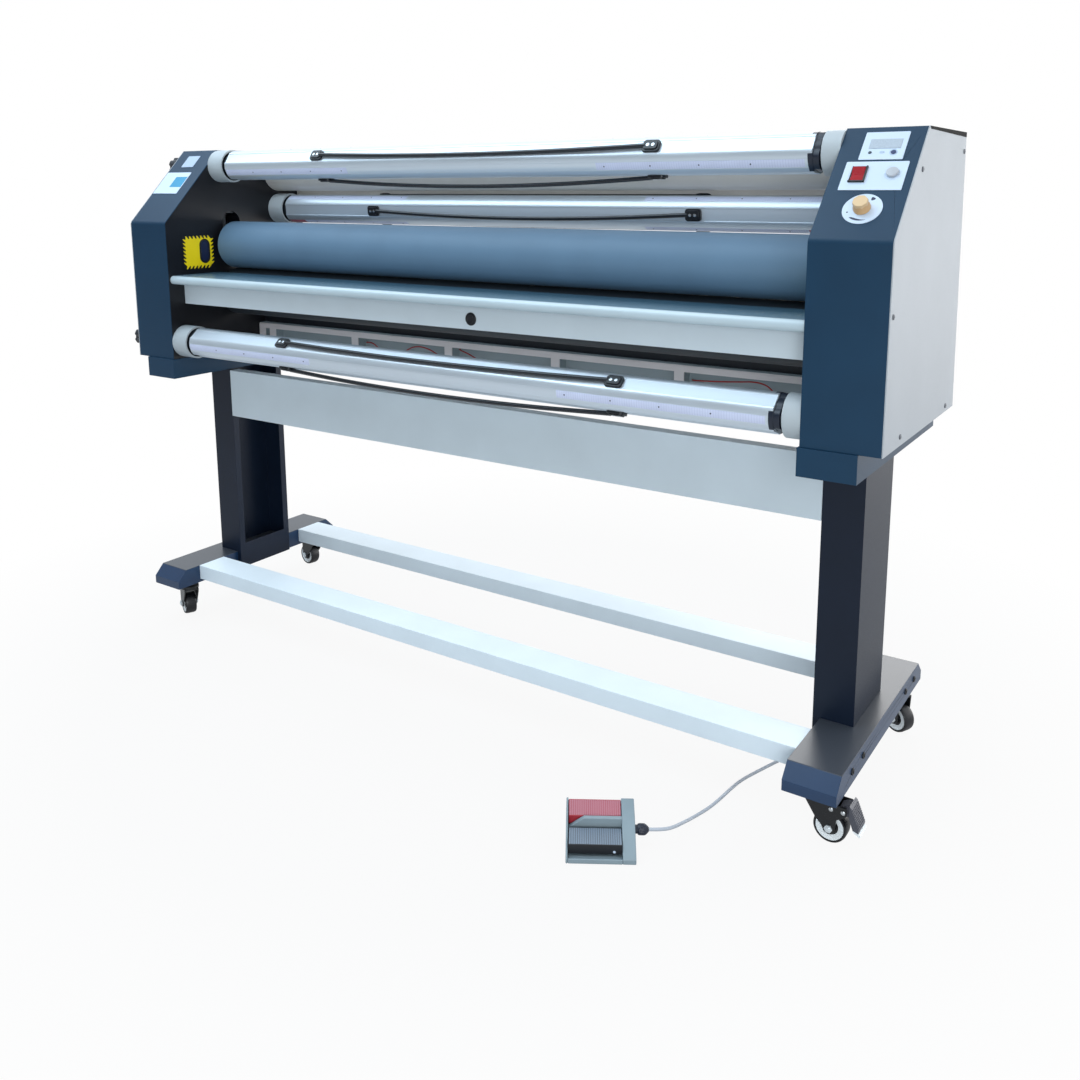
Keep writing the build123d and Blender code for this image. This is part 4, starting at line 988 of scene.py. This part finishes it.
TYRE = [(24.4, -11), (25.5, -13.4), (27.5, -14), (29.2, -12), (30, -8), (30, 8), (29.2, 12),
        (27.5, 14), (25.5, 13.4), (24.4, 11), (24.4, -11)]
HUB_RING = [(15, -11), (24.5, -13), (24.5, 13), (15, 11), (15, -11)]
HUB_CORE = [(4.05, -12), (10, -12), (11, -9), (15, -9), (15, 9), (11, 9), (10, 12), (4.05, 12),
            (4.05, -12)]
SWIVEL_HEAD = [(0, 79), (23, 79), (23, 86), (18, 90), (18, 93), (21, 95), (21, 99.7), (0, 99.7)]
AXLE_END = [(0, 22.0), (4, 22.0), (4, 23.2), (3.2, 23.5), (0, 23.5)]
nut = ring_outline(7.6, 6)
for name, where in CASTERS.items():
    place = caster_frame(*where)
    axle = place @ Matrix.Translation((TRAIL, WHEEL_R, 0))
    wheel, fork = f"{name}_wheel", f"{name}_fork"
    lathe_piece(f"{name}_tyre", [(TYRE, axle)], "tyre_rubber", wheel, [wheel])
    lathe_piece(f"{name}_hub_ring", [(HUB_RING, axle)], "hub_white", wheel)
    lathe_piece(f"{name}_hub_core", [(HUB_CORE, axle)], "fork_black", wheel)
    mesh = bmesh.new()
    legs = leg_outline(name == "front_right")
    for low, high in ((15.5, 18.5), (-18.5, -15.5)):
        prism(mesh, legs, place, low, high)
    prism(mesh, [(-19, 76), (38, 76), (38, 80), (-19, 80)], place, -18.5, 18.5)
    turned(mesh, SWIVEL_HEAD, seat((*where[:2], 0), (1, 0, 0), (0, 0, 1)))
    piece(f"{name}_fork_body", mesh, "fork_black", fork, [fork], edge=0.6)
    nuts = [(nut, axle, 18.5, 22.0), (nut, axle, -22.0, -18.5)]
    plate_piece(f"{name}_axle_nuts", nuts, "bright_zinc", fork, edge=0.6)
    ends = [(AXLE_END, axle), (mirrored(AXLE_END), axle), (rod(3.9, -18, 18), axle)]
    lathe_piece(f"{name}_axle_ends", ends, "bright_zinc", fork, steps=24)
print("casters", len(CASTERS))

# %% [markdown]
# ## Brake of one caster
# The front right caster has a foot brake: a steep ribbed lever that turns on a rivet
# through the fork's ears and presses on the tyre. The ribs could be a bump in the finish,
# but they show in the lever's outline, so they are bars that stand on its outer face.

# %% Brake
place = caster_frame(*CASTERS["front_right"])
pad = [(40, 74), (60, 82), (62, 60), (52, 58), (40, 64)]
lever = [(58, 83.4), (61.8, 79.6), (76.6, 43.0), (75.2, 35.6), (66, 38.6), (58, 60)]
mesh = bmesh.new()
prism(mesh, pad, place, -12, 12)
prism(mesh, lever, place, -18, 18)
face_lean = math.atan2(43.0 - 79.6, 76.6 - 61.8)
outer = place @ Matrix.Translation((61.8, 79.6, 0)) @ Matrix.Rotation(face_lean, 4, "Z")
for k in range(9):
    along = 3.0 + 3.9 * k
    prism(mesh, [(along, -0.5), (along + 2.0, -0.5), (along + 1.7, 1.3), (along + 0.3, 1.3)],
          outer, -17, 17)
piece("brake_lever", mesh, "brake_grey", "caster_brake", ["caster_brake"],
      edge=0.5)
rivet = [(0, 18.4), (3.2, 18.4), (4.1, 18.7), (3.8, 19.9), (2.2, 20.7), (0, 20.9)]
rivets = (rivet, mirrored(rivet))
pin = place @ Matrix.Translation((48, 68, 0))
lathe_piece("brake_rivets", [(form, pin) for form in (*rivets, rod(2.4, -18, 18))], "steel",
            "caster_brake", steps=24)
fixed = place @ Matrix.Translation((27, 68, 0))
lathe_piece("fork_rivets", [(form, fixed) for form in rivets], "steel", "front_right_fork",
            steps=24)
tab = [(65.6, 38.0), (77.5, 30.8), (80.0, 34.0), (78.6, 36.2), (66.4, 40.4)]
plate_piece("brake_tab", [(tab, place, -18.3, 18.3)], "hub_white", "caster_brake",
            edge=0.3)
print("brake made")

# %% [markdown]
# ## Foot switch
# The foot switch is a small casting with two treads hinged at their rear edges, red
# behind and black in front. A wall between them slopes down at the left. The treads are
# ribbed for grip. The ribs are low bars, because a bump would vanish at the tread's edge.

# %% Foot switch
PEDAL_TURN = math.radians(31.5)
ALONG = Vector((math.cos(PEDAL_TURN), math.sin(PEDAL_TURN), 0))
BACK = Vector((-math.sin(PEDAL_TURN), math.cos(PEDAL_TURN), 0))
PEDAL_AT = Vector((583, -512, 0))
side_on = Matrix((
    (BACK.x, 0, ALONG.x, PEDAL_AT.x),
    (BACK.y, 0, ALONG.y, PEDAL_AT.y),
    (0, 1, 0, 0),
    (0, 0, 0, 1),
))
WALL_OUTLINE = [(0, 0), (0, 9), (6, 15), (64, 46), (90, 52.2), (106, 56), (110, 53), (110, 0)]
mesh = bmesh.new()
prism(mesh, WALL_OUTLINE, side_on, -60, -56.5)
prism(mesh, WALL_OUTLINE, side_on, 37, 60)
FLOOR = [(0, 0), (0, 9), (3, 9), (3, 5), (106, 5), (106, 50), (110, 50), (110, 0)]
prism(mesh, FLOOR, side_on, -56.5, 37)
FACE_ON = Matrix(((0, 0, 1, 0), (0, 1, 0, 0), (1, 0, 0, 0), (0, 0, 0, 1)))
DIVIDER = [(-56.5, 4.5), (37.5, 4.5), (37.5, 46), (-29, 46), (-56.5, 27)]
prism(mesh, DIVIDER, side_on @ FACE_ON, 60, 69)
piece("switch_casting", mesh, "pedal_casting", "frame", ["pedal_base"], edge=1.4)


def tread(name, outline, top, pivot, colours, body):
    """A hinged tread with a pin at its hinge, and ribs whose lighter tone is a painted
    highlight.
    """
    mesh = bmesh.new()
    prism(mesh, outline, side_on, -55.5, 36)
    pin_place = side_on @ Matrix.Translation((*pivot, 0))
    turned(mesh, rod(2, -58.9, 40.5), pin_place, 16)
    piece(name, mesh, colours[0], body, [body], edge=0.4)
    (n0, z0), (n1, z1) = top
    lean = math.atan2(z1 - z0, n1 - n0)
    run = math.hypot(n1 - n0, z1 - z0)
    base = side_on @ Matrix.Translation((n0, z0, 0)) @ Matrix.Rotation(lean, 4, "Z")
    ribs = []
    for k in range(24):
        u = -54.6 + k * 3.78
        ribs.append(([(1.2, -0.4), (run - 1.0, -0.4), (run - 1.4, 0.35), (1.8, 0.35)],
                     base, u, u + 3.2))
    # The ribs' lighter colour is a painted highlight where their tops catch the light.
    plate_piece(f"{name}_ribs", ribs, colours[1], body)


tread("red_tread", [(71, 28), (71, 43.1), (104, 54.1), (104, 44), (96, 44), (95, 47.5),
                    (75, 40.5), (75, 28)], ((71, 43.1), (104, 54.1)), (99.5, 47.5),
      ("pedal_red", "tread_pink_painted_highlight"), "red_pedal")
tread("black_tread", [(14, 9.5), (14, 26.6), (54, 32.1), (54, 23), (46, 23), (45, 26.5),
                      (18, 23), (18, 9.5)], ((14, 26.6), (54, 32.1)), (50, 26.5),
      ("pedal_black", "tread_grey_painted_highlight"), "black_pedal")
dot_face = side_on @ Matrix.Translation((14, 14, 23)) @ Matrix.Rotation(-math.pi / 2, 4, "Y")
lathe_piece("white_dot", [([(0, -1), (2.3, -1), (2.3, 0.3), (0, 0.4)], dot_face)], "label_plate",
            "black_pedal", steps=24)
print("foot switch made")

# %% [markdown]
# ## Cable glands
# Where the lead leaves the foot switch it passes a ribbed nut and a tapered grip, which
# keep it from bending sharply. The same gland holds its upper end inside the machine. Both
# are turned from a stepped profile, with a six sided nut at the root.

# %% Glands and the cords' riders
gland_seat = seat(PEDAL_AT + ALONG * 60 + BACK * 57 + Vector((0, 0, 29)), BACK, ALONG)
mesh = bmesh.new()
prism(mesh, ring_outline(7.6, 8, math.pi / 8), gland_seat, 0, 6)
turned(mesh, [(0, 4), (8.6, 4.5), (9.6, 6.5), (9.6, 16.5), (8.4, 19.0), (5.0, 22.6), (3.4, 24),
              (0, 24)], gland_seat, 40)
prism(mesh, ring_outline(9.5, 96, 0, 0.5, 16), gland_seat, 7, 16)
upper_seat = seat((836, -15, 657), (1, 0, 0), (0, 0, -1))
turned(mesh, [(0, 0), (10, 0), (10, 10), (8, 11), (8, 18), (5.2, 22), (4.0, 26), (0, 26)],
       upper_seat, 40)
glands = piece("cable_glands", mesh, "gland_black", "frame", ["cord_glands"],
               edge=0.4)
pedal_cord.data.materials.append(finishes["cord_grey"])
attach(pedal_cord, "frame")
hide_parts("pedal_cord")
for lead, route, length in heater_leads:
    lead.data.materials.append(finishes["lead_red"])
    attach(lead, "frame")
    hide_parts("heater_leads")

# %% [markdown]
# ## Mains inlet
# The supply socket sits low on the rear of the right housing. It is a flanged black
# moulding with a recess, so its mouth is built as four walls round a floor.

# %% Mains inlet
REAR_OUT = (0, 519, 33)
inlet_low, inlet_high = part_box("power_inlet")
inlet_centre = (inlet_low + inlet_high) / 2 / MM
rear_place = seat(inlet_centre, (1, 0, 0), REAR_OUT)
walls = [round_box(30, 3, 0.8, (0, side * 10.5)) for side in (1, -1)]
walls += [round_box(3, 24, 0.8, (side * 13.5, 0)) for side in (1, -1)]
flange = [(round_box(50, 34, 3), rear_place, -3, 0)]
flange += [(wall, rear_place, 0, 3) for wall in walls]
plate_piece("mains_inlet", flange, "black_plastic", "frame", ["power_inlet"],
            edge=0.4)
pins = [(round_box(2, 6, 0.4, (dx, dy)), rear_place, 0, 2.5) for dx, dy in
        ((-7, -2), (7, -2), (0, 4))]
plate_piece("inlet_pins", pins, "steel", "frame")
print("inlet made")

# %% [markdown]
# ## Floor, backdrop and light
# The machine stands on a plain pale floor. Four large soft lamps and a sky that is brighter
# behind give the light of a bright hall. The white background comes from what the camera
# sees, through the ray type, and not from stronger lamps, so pale paint keeps its tone.
# Glossy rays see a share of the white floor too, so metal and smooth paint show it.

# %% Stage
FLOOR_RADII = (0, 1500, 3000, 9000)
FLOOR_IN_GLOSS = 0.4
BRIGHT_SIDE = (0.22, 0.76, 0.61)
mesh = bmesh.new()
turned(mesh, [(radius, 0) for radius in FLOOR_RADII], Matrix.Identity(4), 64)
floor = mesh_object("floor", mesh)
floor_finish, tree, surface = shader("floor_finish")
set_inputs(tree, surface, {
    "Base Color": (0.36, 0.37, 0.38, 1), "Roughness": 0.9, "Specular IOR Level": 0.1,
})
glow = add_node(tree, "Emission", {"Strength": 1.0})
where = add_node(tree, "NewGeometry", {}).outputs["Position"]
reach = add_node(tree, "VectorMath", {0: where}, "LENGTH").outputs["Value"]
rays = add_node(tree, "LightPath", {}).outputs
looks = add_node(tree, "Math", {
    0: rays["Is Glossy Ray"], 1: FLOOR_IN_GLOSS, 2: rays["Is Camera Ray"],
}, "MULTIPLY_ADD").outputs["Value"]
white_far = spread(tree, reach, 0.92, 1.0, 0.9, 1.7)
seen = add_node(tree, "Math", {0: white_far, 1: looks}, "MULTIPLY")
mix = add_node(tree, "MixShader", {
    0: seen.outputs["Value"], 1: surface.outputs["BSDF"], 2: glow.outputs["Emission"],
})
set_inputs(tree, tree.nodes["Material Output"], {"Surface": mix.outputs["Shader"]})
floor.data.materials.append(floor_finish)

world = bpy.data.worlds.new("hall")
world.use_nodes = True
scene.world = world
tree = world.node_tree
toward = add_node(tree, "TexCoord", {}).outputs["Generated"]
facing = add_node(tree, "VectorMath", {0: toward, 1: BRIGHT_SIDE}, "DOT_PRODUCT")
sky = tree.nodes["Background"]
set_inputs(tree, sky, {
    "Color": (0.92, 0.96, 1.0, 1),
    "Strength": spread(tree, facing.outputs["Value"], 0.12, 1.5, -0.6, 0.9),
})
white = add_node(tree, "Background", {"Color": (1, 1, 1, 1), "Strength": 1.0})
rays = add_node(tree, "LightPath", {}).outputs
mix = add_node(tree, "MixShader", {
    0: rays["Is Camera Ray"], 1: sky.outputs["Background"], 2: white.outputs["Background"],
})
set_inputs(tree, tree.nodes["World Output"], {"Surface": mix.outputs["Shader"]})


def soft_lamp(name, place, aim, size, power, colour):
    """A square lamp that points at a place."""
    data = bpy.data.lights.new(name, "AREA")
    data.size = size
    data.energy = power
    data.color = colour
    lamp = add_object(name, data)
    lamp.location = place
    lamp.rotation_mode = "QUATERNION"
    lamp.rotation_quaternion = (Vector(aim) - Vector(place)).to_track_quat("-Z", "Y")


soft_lamp("top_lamp", (-1.1, -0.9, 3.3), (0.3, -0.1, 0.9), 2.6, 68, (0.66, 0.85, 1.0))
soft_lamp("side_lamp", (3.0, 2.9, 0.6), (0.8, 0, 0.6), 2.2, 48, (1.0, 0.98, 0.96))
soft_lamp("front_lamp", (2.3, -3.8, 0.9), (0, 0, 0.8), 2.4, 92, (0.92, 0.97, 1.0))
soft_lamp("back_lamp", (0.0, 3.4, 1.9), (0.9, 0.1, 0.15), 2.0, 34, (1.0, 0.98, 0.95))
print("stage ready")
